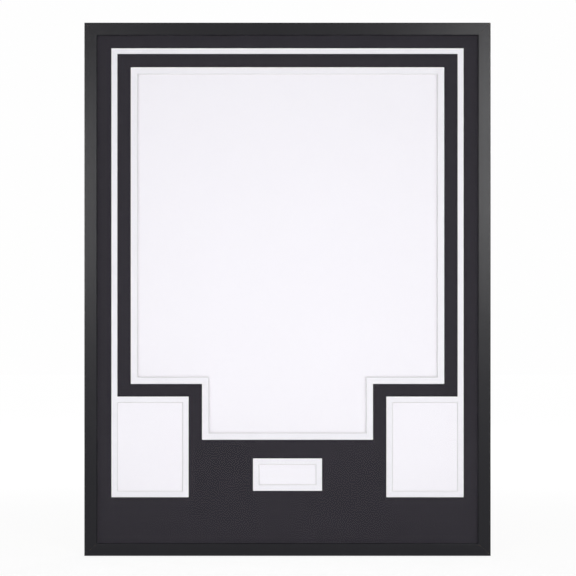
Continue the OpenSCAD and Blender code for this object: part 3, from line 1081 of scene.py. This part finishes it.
class Finishes:
    """Every material of the case, each built once."""

    def __init__(self, sizes: CaseSizes) -> None:
        """Builds the materials.

        Args:
            sizes: Sizes of the case.
        """
        black, black_fibre = (0.0262, 0.0231, 0.0302), (0.056, 0.052, 0.062)
        white, white_fibre = (0.867, 0.847, 0.892), (0.77, 0.76, 0.81)
        board, board_fibre = (0.906, 0.878, 0.929), (0.81, 0.79, 0.84)
        backing, backing_fibre = (0.80, 0.785, 0.75), (0.68, 0.66, 0.62)
        nickel, nickel_stain = (0.49, 0.48, 0.465), (0.41, 0.385, 0.35)
        zinc, zinc_stain = (0.46, 0.47, 0.49), (0.44, 0.42, 0.37)
        blue, blue_stain = (0.20, 0.205, 0.23), (0.16, 0.13, 0.12)
        # The white mat's core is given a grey well below its face paper. This is painted shade: the shadow
        # line along the white mat's window edges.
        black_core, white_core_painted_shade, foam = (0.95, 0.95, 0.95), (0.74, 0.735, 0.75), (0.88, 0.88, 0.875)
        self.level_moulding = LacqueredWood(Run.LEVEL, sizes).make()
        self.upright_moulding = LacqueredWood(Run.UPRIGHT, sizes).make()
        self.black_paper = Paper(
            "black_mat_paper", black, black_fibre, fibre_share=0.4, cloud_share=0.3, tooth=0.045, shine=0.1
        ).make()
        self.white_paper = Paper("white_mat_paper", white, white_fibre, shine=0.1).make()
        self.board_paper = Paper(
            "mounting_board_paper", board, board_fibre,
            fibre_share=0.08, cloud_share=0.02, fibres_in_a_metre=1900.0, shine=0.1,
        ).make()
        self.backing_paper = Paper("backing_paper", backing, backing_fibre).make()
        self.black_mat_core = CutCore("black_mat_core", black_core, 2600.0, 0.03).make()
        self.white_mat_core_painted_shade = CutCore("white_mat_core_painted_shade", white_core_painted_shade, 2600.0, 0.03).make()
        self.foam = CutCore("foam_core", foam, 1100.0, 0.12).make()
        self.hardboard = Hardboard().make()
        self.plated = PlatedSteel("nickel_plated_steel", nickel, nickel_stain).make()
        self.zinc = PlatedSteel("zinc_plated_steel", zinc, zinc_stain, 0.5, 0.34).make()
        self.blued = PlatedSteel("blued_steel", blue, blue_stain, 0.5, 0.36).make()
        self.rubber = Rubber().make()
        self.clear = ClearPlastic().make()


# Sub-assemblies


@dataclass
class SubAssembly:
    """What every sub-assembly is made from: the sizes of the case and its finishes."""

    sizes: CaseSizes
    finishes: Finishes


@dataclass
class Moulding(SubAssembly):
    """The four mitred lengths and the nails in their corners. They stay the frame's own nodes."""

    level: tuple[str, ...] = ("top_rail", "bottom_rail")
    upright: tuple[str, ...] = ("left_stile", "right_stile")
    nails: str = "corner_nails"

    def dress(self) -> None:
        """Gives each length the lacquer that runs its way, and the nails their steel."""
        for name in self.level:
            dress_node(name, self.finishes.level_moulding)
        for name in self.upright:
            dress_node(name, self.finishes.upright_moulding)
        dress_node(self.nails, self.finishes.blued)


class Layer(NamedTuple):
    """One layer of a sheet: its thickness in millimetres and the number of its finish."""

    thickness: float
    finish: int


@dataclass
class LayeredSheet:
    """A flat sheet built up of layers, with windows cut through it.

    The sheet is a grid of cells between all the edges of its windows and its outline. A cell that no
    window covers is solid. Each layer boundary repeats the grid at its own depth. On a window's edge the
    points move into the window by that depth, so that the cut slopes at 45 degrees.
    """

    name: str
    node: str
    slot: str
    outline: Window
    face_y: float
    layers: tuple[Layer, ...]
    materials: Materials
    windows: tuple[Window, ...] = ()
    smooth_below: float = 20.0

    def surface(self) -> Surface:
        """Works out the sheet.

        Returns:
            The sheet's faces, walls and cut edges, with the finish of each layer.
        """
        edges = [self.outline, *self.windows]
        xs = np.unique([value for w in edges for value in (w.x0, w.x1)])
        zs = np.unique([value for w in edges for value in (w.z0, w.z1)])
        solid = self._solid_cells(xs, zs)
        depths = np.cumsum([0.0, *(layer.thickness for layer in self.layers)])
        points = self._levels(xs, zs, solid, depths)
        columns = len(zs)
        level_size = len(xs) * columns
        i, j = np.nonzero(solid[1:-1, 1:-1])
        corner = i * columns + j
        cell = np.stack([corner, corner + columns, corner + columns + 1, corner + 1], axis=-1)
        faces = [cell, cell[:, ::-1] + (len(depths) - 1) * level_size]
        finishes = [np.full(len(cell), layer.finish) for layer in (self.layers[0], self.layers[-1])]
        starts, ends = self._open_edges(solid, columns)
        for number, layer in enumerate(self.layers):
            near, far = number * level_size, (number + 1) * level_size
            faces.append(np.stack([starts + near, ends + near, ends + far, starts + far], axis=-1))
            finishes.append(np.full(len(starts), layer.finish))
        return Surface(points, np.concatenate(faces), np.concatenate(finishes)).used()

    def _solid_cells(self, xs: np.ndarray, zs: np.ndarray) -> np.ndarray:
        """Which cells are solid, with an empty cell added all round.

        Args:
            xs: Grid lines to the right.
            zs: Grid lines upwards.

        Returns:
            An array of booleans, one larger than the grid on every side.
        """
        x = (xs[:-1, None] + xs[1:, None]) / 2
        z = (zs[None, :-1] + zs[None, 1:]) / 2
        solid = np.ones((len(xs) - 1, len(zs) - 1), bool)
        for w in self.windows:
            solid &= ~((x > w.x0) & (x < w.x1) & (z > w.z0) & (z < w.z1))
        return np.pad(solid, 1)

    def _levels(self, xs: np.ndarray, zs: np.ndarray, solid: np.ndarray, depths: np.ndarray) -> np.ndarray:
        """The grid's points at every depth, moved into the windows by that depth.

        A point moves to the right by the sign of the open cells on its right less those on its left, and
        upwards in the same way. The sheet's outline stays where it is.

        Args:
            xs: Grid lines to the right.
            zs: Grid lines upwards.
            solid: Solid cells, with the empty cells all round.
            depths: Depth of every level below the sheet's face.

        Returns:
            One row for each point, level after level.
        """
        open_cell = np.pad(~solid[1:-1, 1:-1], 1).astype(int)
        low_left, low_right = open_cell[:-1, :-1], open_cell[1:, :-1]
        high_left, high_right = open_cell[:-1, 1:], open_cell[1:, 1:]
        depth = depths[:, None, None]
        x = xs[None, :, None] + depth * np.sign(low_right + high_right - low_left - high_left)
        z = zs[None, None, :] + depth * np.sign(high_left + high_right - low_left - low_right)
        y = np.broadcast_to(self.face_y + depth, x.shape)
        return np.stack([x, y, z], axis=-1).reshape(-1, 3)

    @staticmethod
    def _open_edges(solid: np.ndarray, columns: int) -> tuple[np.ndarray, np.ndarray]:
        """The grid's edges between a solid cell and an empty one, as point numbers of the first level.

        Args:
            solid: Solid cells, with the empty cells all round.
            columns: Number of grid lines upwards.

        Returns:
            The first and the last point of each edge.
        """
        i, j = np.nonzero(solid[:-1, 1:-1] != solid[1:, 1:-1])
        upright = i * columns + j
        k, m = np.nonzero(solid[1:-1, :-1] != solid[1:-1, 1:])
        level = k * columns + m
        return np.concatenate([upright, level]), np.concatenate([upright + 1, level + columns])

    def build(self) -> None:
        """Makes the sheet's piece."""
        piece = self.surface().piece(self.name, self.materials, self.smooth_below)
        settled(piece, ROOT_BODY, self.node)


@dataclass
class SheetPack(SubAssembly):
    """All that lies in the rabbet, from the clear sheet to the back board."""

    mat_face: float = 0.3
    mat_backing: float = 0.25
    foam_face: float = 0.4
    hardboard_skin: float = 0.4

    def build(self) -> None:
        """Dresses the clear sheet and makes all the others."""
        dress_node("clear_sheet", self.finishes.clear)
        for sheet in self._mats() + self._boards():
            sheet.build()

    @property
    def _whole(self) -> Window:
        """Outline of a sheet that fills the rabbet.

        Returns:
            The outline.
        """
        sizes = self.sizes
        half_w = sizes.outer_w / 2 - sizes.wall - sizes.sheet_gap
        return Window(-half_w, half_w, sizes.wall, sizes.outer_h - sizes.wall - 2 * sizes.sheet_gap)

    def _mats(self) -> list[LayeredSheet]:
        """The black mat and the white one, each a face paper, a core and a backing paper. The black mat's
        core is white. The white mat's core is painted grey, as the shadow line along its windows.

        Returns:
            Both mats.
        """
        finishes, plan, whole = self.finishes, WindowPlan(self.sizes), self._whole
        core = self.sizes.mat_t - self.mat_face - self.mat_backing
        layers = (Layer(self.mat_face, 0), Layer(core, 1), Layer(self.mat_backing, 2))
        black = (finishes.black_paper, finishes.black_mat_core, finishes.backing_paper)
        white = (finishes.white_paper, finishes.white_mat_core_painted_shade, finishes.backing_paper)
        rows = (
            ("black_window_mat", "black_top_mat", "black_mat", self.sizes.top_mat_y, black, plan.outer()),
            ("white_window_mat", "white_lower_mat", "white_mat", self.sizes.lower_mat_y, white, plan.inner()),
        )
        return [
            LayeredSheet(name, node, slot, whole, face_y, layers, papers, tuple(sum(windows.values(), [])))
            for name, node, slot, face_y, papers, windows in rows
        ]

    def _boards(self) -> list[LayeredSheet]:
        """The mounting board, the back board, the spacer strips and the filler boards.

        All but the hardboard back board are foam between two papers. A filler board lies behind each photo
        window and the nameplate window, and is larger by a lap all round.

        Returns:
            The boards and strips.
        """
        sizes, finishes, whole, width = self.sizes, self.finishes, self._whole, self.sizes.spacer_w
        low, high = whole.z0 + width, whole.z1 - width
        strips = {
            "top_spacer": Window(whole.x0, whole.x1, high, whole.z1),
            "bottom_spacer": Window(whole.x0, whole.x1, whole.z0, low),
            "left_spacer": Window(whole.x0, whole.x0 + width, low, high),
            "right_spacer": Window(whole.x1 - width, whole.x1, low, high),
        }
        behind = ("left_photo_filler", "right_photo_filler", "nameplate_filler")
        windows = WindowPlan(sizes).inner()
        fillers = dict(zip(behind, windows["photos"] + windows["nameplate"]))
        filler_y = sizes.board_y - sizes.filler_t
        foam = (self.foam_face, (finishes.board_paper, finishes.foam))
        hard = (self.hardboard_skin, (finishes.hardboard,))
        mounting, backing = "mounting_board", "back_board"
        rows = [
            ("mounting_foam_board", mounting, mounting, whole, sizes.board_y, sizes.board_t, foam),
            ("hardboard_back", backing, backing, whole, sizes.back_board_y, sizes.back_t, hard),
        ]
        rows += [
            (f"{node}_strip", node, "spacers", strip, sizes.spacer_y, sizes.spacer_t, foam)
            for node, strip in strips.items()
        ]
        rows += [
            (f"{node}_board", node, "fillers", w.smaller(-sizes.filler_lap), filler_y, sizes.filler_t, foam)
            for node, w in fillers.items()
        ]
        return [
            LayeredSheet(name, node, slot, outline, face_y, self._board_layers(thickness, *stock), stock[1])
            for name, node, slot, outline, face_y, thickness, stock in rows
        ]

    @staticmethod
    def _board_layers(thickness: float, skin: float, materials: Materials) -> tuple[Layer, ...]:
        """A board's layers: two skins of the first material round a core of the last."""
        return Layer(skin, 0), Layer(thickness - 2 * skin, len(materials) - 1), Layer(skin, 0)


@dataclass
class TurnButtons(SubAssembly):
    """The ten pressed turn buttons that hold the back board in."""

    inset: float = 190.0
    width: float = 9.5
    sheet: float = 1.2
    reach: float = 27.0
    pad: float = 6.0
    arch: float = 1.2
    nose_l: float = 4.0
    nose_rise: float = 1.0
    play: float = 0.1
    hole_r: float = 1.58
    edge_r: float = 0.32
    hole_edge_r: float = 0.15
    side_steps: int = 20
    end_steps: int = 16
    inward_steps: int = 16
    edge_steps: int = 3
    smooth_below: float = 32.0

    def places(self) -> dict[str, tuple[float, float, float]]:
        """Where each button's screw stands, and the angle that its nose is turned by about Y.

        Returns:
            X, Z and the angle in degrees, for each node by name.
        """
        mid, height = self.sizes.wall / 2, self.sizes.outer_h
        x, stile_x = self.sizes.outer_w / 2 - self.inset, self.sizes.stile_x
        heights = {"upper": height - self.inset, "middle": height / 2, "lower": self.inset}
        rows: dict[str, tuple[float, float, float]] = {}
        for side, hand in SIDES:
            rows[f"turn_button_top_{hand}"] = (side * x, height - mid, 180.0)
            rows[f"turn_button_bottom_{hand}"] = (side * x, mid, 0.0)
            for label, z in heights.items():
                rows[f"turn_button_{hand}_{label}"] = (side * stile_x, z, -90.0 * side)
        return rows

    def lift(self, at: np.ndarray) -> np.ndarray:
        """Height of the sheet above its pad, at a distance from the screw.

        It is a squared sine over the arch, and then the square of the way along the nose.

        Args:
            at: Distances from the screw, towards the nose.

        Returns:
            The heights.
        """
        nose_at = self.reach - self.nose_l
        along = np.clip((at - self.pad) / (nose_at - self.pad), 0.0, 1.0)
        nose = np.clip((at - nose_at) / self.nose_l, 0.0, 1.0)
        return self.arch * np.sin(np.pi * along) ** 2 + self.nose_rise * nose**2

    def _outline(self) -> tuple[np.ndarray, np.ndarray]:
        """The middle line's point and the outward direction at every step round the button.

        The outline with round ends is that point plus the half width times the direction.

        Returns:
            The points and the directions, each one row of X and Z for each step.
        """
        ends, sides = self.end_steps, self.side_steps
        end_z = self.reach - self.width / 2
        up = np.linspace(0.0, end_z, sides, endpoint=False)
        low = np.linspace(180.0, 360.0, ends, endpoint=False)
        high = np.linspace(0.0, 180.0, ends, endpoint=False)
        angle = np.radians(np.concatenate([low, np.zeros(sides), high, np.full(sides, 180.0)]))
        z = np.concatenate([np.zeros(ends), up, np.full(ends, end_z), end_z - up])
        direction = np.stack([np.cos(angle), np.sin(angle)], axis=-1)
        return np.stack([np.zeros_like(z), z], axis=-1), direction

    def _edge(self, turn: np.ndarray, radius: float) -> tuple[np.ndarray, np.ndarray]:
        """How a rounded edge runs between the sheet's faces.

        Its height is that of the edge's lower or upper centre plus the radius times the sine, and it stands
        out by the radius times the cosine.

        Args:
            turn: Angles round the edge, in degrees, below 0 on the underside.
            radius: Radius of the edge.

        Returns:
            The heights, and how far the edge stands out.
        """
        angle = np.radians(turn)
        height = np.where(turn < 0, radius, self.sheet - radius) + radius * np.sin(angle)
        return height, (radius * np.cos(angle))[:, None, None]

    def surface(self) -> Surface:
        """Works out one button, with its screw's axis on Y and its nose up.

        Each step round the outline carries one closed section. It runs out from the hole on the underside,
        round the rim, back to the hole on the top, and down the hole's wall.

        Returns:
            The button's closed surface.
        """
        middle, direction = self._outline()
        rim_flat = middle + (self.width / 2 - self.edge_r) * direction
        toward = rim_flat / np.linalg.norm(rim_flat, axis=-1, keepdims=True)
        hole_flat = (self.hole_r + self.hole_edge_r) * toward
        share = np.linspace(0.0, 1.0, self.inward_steps + 1)[:, None, None]
        under = hole_flat + share * (rim_flat - hole_flat)
        turn = np.linspace(-90.0, 90.0, 2 * self.edge_steps + 1)[1:-1]
        rim_y, rim_out = self._edge(turn, self.edge_r)
        hole_y, hole_out = self._edge(turn[::-1], self.hole_edge_r)
        rim, hole = rim_flat + rim_out * direction, hole_flat - hole_out * toward
        flat = np.concatenate([under, rim, under[::-1], hole])
        under_y, over_y = np.zeros(len(under)), np.full(len(under), self.sheet)
        height = np.concatenate([under_y, rim_y, over_y, hole_y])
        y = height[:, None] + self.lift(flat[..., 1])
        grid = np.stack([flat[..., 0], y, flat[..., 1]], axis=-1)
        return Surface.from_grid(grid, wrap_rows=True, wrap_columns=True)

    def build(self) -> None:
        """Makes the ten buttons."""
        pattern = self.surface()
        y = self.sizes.back_y + self.play
        for node, (x, z, angle) in self.places().items():
            surface = pattern.moved((x, y, z), angle)
            piece = surface.piece(f"{node}_pressing", (self.finishes.plated,), self.smooth_below)
            settled(piece, node, node)


@dataclass
class PanHeadScrews(SubAssembly):
    """Pan-head screws with a cross recess and a cut thread."""

    shank_r: float = 1.5
    core_r: float = 1.05
    length: float = 13.0
    point_l: float = 3.0
    point_power: float = 0.8
    head_r: float = 3.2
    head_h: float = 2.0
    dome_h: float = 1.2
    dome_rim: float = 0.06
    side_rim: float = 0.08
    edge_r: float = 0.2
    neck: float = 0.2
    cross_w: float = 0.9
    cross_l: float = 3.8
    cross_d: float = 1.1
    cross_flank: float = 0.2
    cross_run_out: float = 0.7
    pitch: float = 1.35
    plain_l: float = 1.0
    ridge_steepness: float = 3.4
    dome_steps: int = 23
    edge_steps: int = 3
    steps_round: int = 64
    steps_in_pitch: int = 8
    turn_between: float = 137.5
    smooth_below: float = 38.0

    def surface(self) -> Surface:
        """Works out one screw, with its axis on Y, its head up and the head's underside at 0.

        The rows run from the middle of the head over the dome, round its rim, along the shank and to the
        point. The thread's radius goes from core to crest with the height plus the angle round the axis.

        Returns:
            The screw's closed surface.
        """
        angle = once_round(self.steps_round)
        rows = [self._dome(angle), self._rim(angle), self._shank(angle)]
        radius, height = (np.concatenate(part) for part in zip(*rows))
        return Surface.round_the_axis(radius, height, self.steps_round)

    def _wing(self, along: np.ndarray, across: np.ndarray) -> np.ndarray:
        """Depth of one wing of the recess, which slopes to nothing over its flanks and ends.

        Args:
            along: Distances along the wing from its middle.
            across: Distances across it.

        Returns:
            The depth as a share of the full depth.
        """
        side = (self.cross_w / 2 + self.cross_flank / 2 - np.abs(across)) / self.cross_flank
        end = (self.cross_l / 2 - np.abs(along)) / self.cross_run_out
        return np.clip(side, 0.0, 1.0) * np.clip(end, 0.0, 1.0)

    def _dome(self, angle: np.ndarray) -> tuple[np.ndarray, np.ndarray]:
        """The top of the head: part of a ball, less the cross recess, the larger of its two wings.

        Args:
            angle: Angles round the axis.

        Returns:
            Radius and height of every point.
        """
        ball_r = (self.head_r**2 + self.dome_h**2) / (2 * self.dome_h)
        radius = np.linspace(0.0, self.head_r - self.dome_rim, self.dome_steps)[:, None] + 0 * angle
        height = self.head_h - ball_r + np.sqrt(ball_r**2 - radius**2)
        x, z = radius * np.cos(angle), radius * np.sin(angle)
        return radius, height - self.cross_d * np.maximum(self._wing(x, z), self._wing(z, x))

    def _rim(self, angle: np.ndarray) -> tuple[np.ndarray, np.ndarray]:
        """The head's side, rounded into its underside.

        Args:
            angle: Angles round the axis.

        Returns:
            Radius and height of every point.
        """
        top = self.head_h - self.dome_h - self.side_rim
        lower = arc((self.head_r - self.edge_r, self.edge_r), self.edge_r, 0.0, -90.0, self.edge_steps)
        path = np.concatenate([[[self.head_r, top]], lower, [[self.shank_r + self.neck, 0.0]]])
        return path[:, :1] + 0 * angle, path[:, 1:] + 0 * angle

    def _shank(self, angle: np.ndarray) -> tuple[np.ndarray, np.ndarray]:
        """The shank, its thread and its point.

        Args:
            angle: Angles round the axis.

        Returns:
            Radius and height of every point.
        """
        rows = int(self.length / self.pitch * self.steps_in_pitch)
        depth = np.linspace(0.0, self.length, rows)[:, None]
        phase = (depth / self.pitch + angle / (2 * np.pi)) % 1.0
        ridge = np.clip(1.0 - np.abs(phase - 0.5) * self.ridge_steepness, 0.0, 1.0)
        started = np.clip((depth - self.plain_l) / self.pitch, 0.0, 1.0)
        body = self.shank_r + started * (self.core_r - self.shank_r) * (1.0 - ridge)
        taper = np.clip((self.length - depth) / self.point_l, 0.0, 1.0)
        return body * taper**self.point_power, -depth + 0 * angle

    def build(self, name: str, node: str, spots: list[tuple[float, float]], stack: float) -> None:
        """Makes the screws of one node as one piece.

        Args:
            name: Name of the piece.
            node: Node that the screws stand for.
            spots: X and Z of every screw.
            stack: Height of the sheet metal under the heads.
        """
        pattern = self.surface()
        y = self.sizes.back_y + stack
        parts = [pattern.moved((x, y, z), i * self.turn_between) for i, (x, z) in enumerate(spots)]
        piece = Surface.joined(parts).piece(name, (self.finishes.zinc,), self.smooth_below)
        settled(piece, ROOT_BODY, node)


@dataclass
class Hangers(SubAssembly):
    """The two ring hangers: a folded strap, a wire ring and two screws on each stile."""

    drop: float = 290.0
    strap_t: float = 1.0
    fold_gap: float = 0.1
    strap_first: float = 8.6
    strap_pitch: float = 18.0
    strap_smooth: float = 32.0
    flat_below: float = 0.5
    soft_edge: float = 0.16
    soft_above: float = 40.0
    wire_r: float = 1.25
    wire_play: float = 0.1
    ring_r: float = 7.4
    ring_bend: float = 1.8
    ring_leg: float = 7.2
    ring_gap: float = 0.3
    ring_smooth: float = 40.0
    steps_round: int = 24
    end_steps: int = 36
    bend_steps: int = 8
    bar_steps: int = 6

    @property
    def pivot_z(self) -> float:
        """Height of the rings' pivots."""
        return self.sizes.outer_h - self.drop

    @property
    def screw_heights(self) -> tuple[float, float]:
        """Heights of a strap's two screws."""
        first = self.pivot_z - self.strap_first
        return first, first - self.strap_pitch

    def _path(self) -> tuple[np.ndarray, np.ndarray]:
        """The middle line of a ring's wire: a straight bar, two corner bends, two legs and a round end.

        Its outward directions are the same angles on a circle of radius 1.

        Returns:
            The points and the outward directions, each one row of two coordinates for each step.
        """
        bar, bend = self.ring_r - self.ring_bend, self.ring_bend
        arcs = (
            ((bar, bend), bend, -90.0, 0.0, self.bend_steps),
            ((0.0, self.ring_leg), self.ring_r, 0.0, 180.0, self.end_steps),
            ((-bar, bend), bend, 180.0, 270.0, self.bend_steps),
        )
        inner = np.linspace(-bar, bar, self.bar_steps + 1)[1:-1]
        straight = np.stack([inner, np.zeros_like(inner)], axis=-1)
        down = arc((0.0, 0.0), 1.0, -90.0, -90.0, len(inner) - 1)
        outward = [down, *(arc((0.0, 0.0), 1.0, *turn) for _, _, *turn in arcs)]
        return np.concatenate([straight, *(arc(*row) for row in arcs)]), np.concatenate(outward)

    def ring(self, side: int) -> Surface:
        """Works out a raised ring: a circle of wire carried along the path.

        Each point is the path's point plus the wire's radius times the cosine along the outward direction
        and times the sine across the ring. The ring then leans back to just short of the wood.

        Args:
            side: -1 for the left ring, 1 for the right.

        Returns:
            The ring's closed surface.
        """
        middle, outward = self._path()
        turn = once_round(self.steps_round)
        reach = self.wire_r * np.cos(turn)
        x = middle[:, :1] + reach * outward[:, :1]
        up = middle[:, 1:] + reach * outward[:, 1:]
        across = self.wire_r * np.sin(turn) + 0 * x
        axis_y = self.wire_r + self.wire_play + self.strap_t
        lean = math.asin((axis_y - self.wire_r - self.ring_gap) / (self.ring_leg + self.ring_r))
        cosine, sine = math.cos(math.pi / 2 + lean), math.sin(math.pi / 2 + lean)
        grid = np.stack([x, up * cosine - across * sine, up * sine + across * cosine], axis=-1)
        surface = Surface.from_grid(grid, wrap_rows=True, wrap_columns=True)
        return surface.moved((side * self.sizes.stile_x, self.sizes.back_y + axis_y, self.pivot_z))

    def strap(self, node: str) -> None:
        """Makes a strap from a merged copy of its node, with its cut edges softened.

        Args:
            node: Node that the strap stands for.
        """
        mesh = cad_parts[node].data.copy()
        mesh.materials.clear()
        shape = bmesh.new()
        shape.from_mesh(mesh)
        bmesh.ops.remove_doubles(shape, verts=shape.verts, dist=WELD)
        flat = math.radians(self.flat_below)
        bmesh.ops.dissolve_limit(shape, angle_limit=flat, verts=shape.verts, edges=shape.edges)
        shape.to_mesh(mesh)
        shape.free()
        name, plated = f"{node}_pressing", (self.finishes.plated,)
        piece = finished_object(name, mesh, plated, self.strap_smooth, turn_outwards=False)
        soften = piece.modifiers.new("soft_edge", "BEVEL")
        soften.width = self.soft_edge * MM
        soften.segments = 2
        soften.limit_method = "ANGLE"
        soften.angle_limit = math.radians(self.soft_above)
        settled(piece, ROOT_BODY, node)

    def build(self) -> None:
        """Makes both hangers."""
        for side, hand in SIDES:
            self.strap(f"{hand}_hanger_strap")
            node = f"{hand}_hanger_ring"
            piece = self.ring(side).piece(f"{node}_wire", (self.finishes.plated,), self.ring_smooth)
            settled(piece, node, node)


@dataclass
class Bumpers(SubAssembly):
    """The two rubber bumpers on the bottom rail's back face."""

    radius: float = 6.3
    thickness: float = 3.2
    edge: float = 0.9
    inset: float = 60.0
    dish: float = 0.25
    foot_share: float = 0.6
    edge_steps: int = 6
    dish_steps: int = 8
    steps_round: int = 64
    smooth_below: float = 40.0

    def surface(self) -> Surface:
        """Works out a bumper: a profile turned about an axis along Y.

        The profile runs out along the wood, up the side, over a rounded edge, and in over a shallow dish.

        Returns:
            The bumper's closed surface.
        """
        flat_r = self.radius - self.edge
        round_edge = arc((flat_r, self.thickness - self.edge), self.edge, 0.0, 90.0, self.edge_steps)
        inner = np.linspace(1.0, 0.0, self.dish_steps + 1)[1:]
        dish_y = self.thickness - self.dish * np.sin(np.pi / 2 * (1 - inner)) ** 2
        foot = [[0.0, 0.0], [self.radius * self.foot_share, 0.0], [self.radius, 0.0]]
        profile = np.concatenate([foot, round_edge, np.stack([flat_r * inner, dish_y], axis=-1)])
        return Surface.round_the_axis(profile[:, :1], profile[:, 1:], self.steps_round)

    def build(self) -> None:
        """Makes both bumpers."""
        x = self.sizes.outer_w / 2 - self.inset
        for side, hand in SIDES:
            node = f"{hand}_bumper"
            surface = self.surface().moved((side * x, self.sizes.back_y, self.sizes.wall / 2))
            piece = surface.piece(f"{node}_disc", (self.finishes.rubber,), self.smooth_below)
            settled(piece, ROOT_BODY, node)


@dataclass(frozen=True)
class Softbox:
    """A soft lamp, aimed at the case. Sizes are in metres."""

    name: str
    place: Point
    size: tuple[float, float]
    power: float
    mirrored: bool = True

    def build(self, aim: Point) -> None:
        """Hangs the lamp and turns it to a point.

        Args:
            aim: The point that it lights.
        """
        lamp = bpy.data.lights.new(self.name, "AREA")
        lamp.shape = "RECTANGLE"
        lamp.size, lamp.size_y = self.size
        lamp.energy = self.power
        holder = bpy.data.objects.new(self.name, lamp)
        holder.location = self.place
        x, y, z = np.array(aim) - np.array(self.place)
        holder.rotation_euler = (math.pi / 2 + math.atan2(z, math.hypot(x, y)), 0.0, math.atan2(-x, y))
        holder.visible_camera = False
        holder.visible_glossy = self.mirrored
        bpy.context.scene.collection.objects.link(holder)


@dataclass
class Studio:
    """Floor, soft light, white surround and camera. Its own sizes are in metres."""

    sizes: CaseSizes
    white: float = 0.992
    ambient: float = 0.18
    floor_half: float = 9.0
    floor_cells: int = 8
    floor_drop: float = 0.0002
    floor_seen: float = 0.16
    floor_glow: float = 0.905
    floor_far_glow: float = 0.968
    floor_unseen: float = 0.8
    near: float = 0.9
    far: float = 3.5
    lens: float = 135.0
    sensor: float = 36.0
    distance: float = 4.32
    camera_x: float = 0.001
    camera_z: float = 0.536
    lamps: tuple[Softbox, ...] = (
        Softbox("right_softbox", (1.0, -3.5, 1.03), (0.40, 0.96), 27.0),
        Softbox("left_softbox", (-1.0, -3.5, 0.86), (0.40, 0.72), 14.6),
        Softbox("right_key", (1.35, -3.0, 0.30), (0.40, 0.40), 17.8, mirrored=False),
        Softbox("left_key", (-1.35, -3.0, 0.30), (0.40, 0.40), 17.6, mirrored=False),
        Softbox("low_fill", (0.0, -1.3, 0.12), (0.90, 0.16), 3.3, mirrored=False),
        Softbox("top_fill", (0.0, -2.6, 1.80), (0.60, 0.20), 0.8, mirrored=False),
        Softbox("rear_right_softbox", (1.5, 3.4, 1.5), (1.00, 1.20), 34.0),
        Softbox("rear_left_softbox", (-1.9, 3.0, 1.0), (1.00, 1.20), 26.0),
    )

    def build(self) -> None:
        """Sets up the whole studio and the view settings."""
        self._surround()
        self._floor()
        aim = (0.0, 0.0, self.sizes.outer_h / 2 * MM)
        for lamp in self.lamps:
            lamp.build(aim)
        self._camera()
        bpy.context.scene.view_settings.view_transform = "Standard"

    @staticmethod
    def _seen(bench: Bench) -> Socket:
        """Tells the rays that see a surface from those that only light by it.

        Args:
            bench: Bench of the material or the world.

        Returns:
            A mask that is 1 for rays from the camera, off gloss and through glass.
        """
        path = bench.put("ShaderNodeLightPath").outputs
        gloss = bench.plus(path["Is Camera Ray"], path["Is Glossy Ray"])
        return bench.plus(gloss, path["Is Transmission Ray"], clamp=True)

    def _surround(self) -> None:
        """Makes the world: white where it is seen, and a plain level of light elsewhere."""
        world = bpy.data.worlds.new("surround")
        world.use_nodes = True
        bpy.context.scene.world = world
        bench = Bench(world.node_tree)
        strength = bench.between(self._seen(bench), 0.0, 1.0, self.ambient, self.white)
        sky = bench.first("ShaderNodeBackground", {"Color": (1.0, 1.0, 1.0), "Strength": strength})
        bench.put("ShaderNodeOutputWorld", {"Surface": sky})

    def _floor(self) -> None:
        """Makes the pale floor. Seen directly it glows almost to white, and keeps the case's soft shadow.

        Past the shadow it glows a little more, so that it meets the surround without a line.
        """
        bench = MaterialBench("pale_floor")
        far_out = bench.put("ShaderNodeVectorMath", {0: bench.place}, operation="LENGTH").outputs["Value"]
        strength = bench.between(far_out, self.near, self.far, self.floor_glow, self.floor_far_glow)
        plain = bench.first("ShaderNodeBsdfDiffuse", {"Color": (self.floor_unseen,) * 3})
        dull = bench.first("ShaderNodeBsdfDiffuse", {"Color": (self.floor_seen,) * 3})
        glow = bench.first("ShaderNodeEmission", {"Strength": strength})
        seen = bench.first("ShaderNodeAddShader", {0: dull, 1: glow})
        mixed = bench.first("ShaderNodeMixShader", {0: self._seen(bench), 1: plain, 2: seen})
        steps = np.linspace(-self.floor_half, self.floor_half, self.floor_cells + 1) / MM
        x, y = np.meshgrid(steps, steps, indexing="ij")
        grid = np.stack([x, y, np.full_like(x, -self.floor_drop / MM)], axis=-1)
        surface = Surface.from_grid(grid, wrap_rows=False, wrap_columns=False)
        surface.piece("floor", (bench.show(mixed),), smooth_below=30.0)

    def _camera(self) -> None:
        """Stands the camera square in front of the case, level with a point just above its middle."""
        camera = bpy.data.cameras.new("camera")
        camera.sensor_width = self.sensor
        camera.lens = self.lens
        holder = bpy.data.objects.new("camera", camera)
        face_y = -self.sizes.depth / 2 * MM
        holder.location = (self.camera_x, face_y - self.distance, self.camera_z)
        holder.rotation_euler = (math.pi / 2, 0.0, 0.0)
        bpy.context.scene.collection.objects.link(holder)
        bpy.context.scene.camera = holder


def main() -> None:
    """Builds the studio and every sub-assembly in order."""
    logging.basicConfig(level=logging.INFO, format="%(name)s: %(message)s")
    sizes = CaseSizes()
    Studio(sizes).build()
    finishes = Finishes(sizes)
    Moulding(sizes, finishes).dress()
    SheetPack(sizes, finishes).build()
    buttons = TurnButtons(sizes, finishes)
    buttons.build()
    hangers = Hangers(sizes, finishes)
    hangers.build()
    screws = PanHeadScrews(sizes, finishes)
    button_spots = [(x, z) for x, z, _ in buttons.places().values()]
    button_stack = buttons.sheet + 2 * buttons.play
    screws.build("turn_button_screw_set", "turn_button_screws", button_spots, button_stack)
    hanger_spots = [(side * sizes.stile_x, z) for side, _ in SIDES for z in hangers.screw_heights]
    strap_stack = 2 * hangers.strap_t + hangers.fold_gap
    screws.build("hanger_screw_set", "hanger_screws", hanger_spots, strap_stack)
    Bumpers(sizes, finishes).build()


if __name__ == "__main__":
    main()
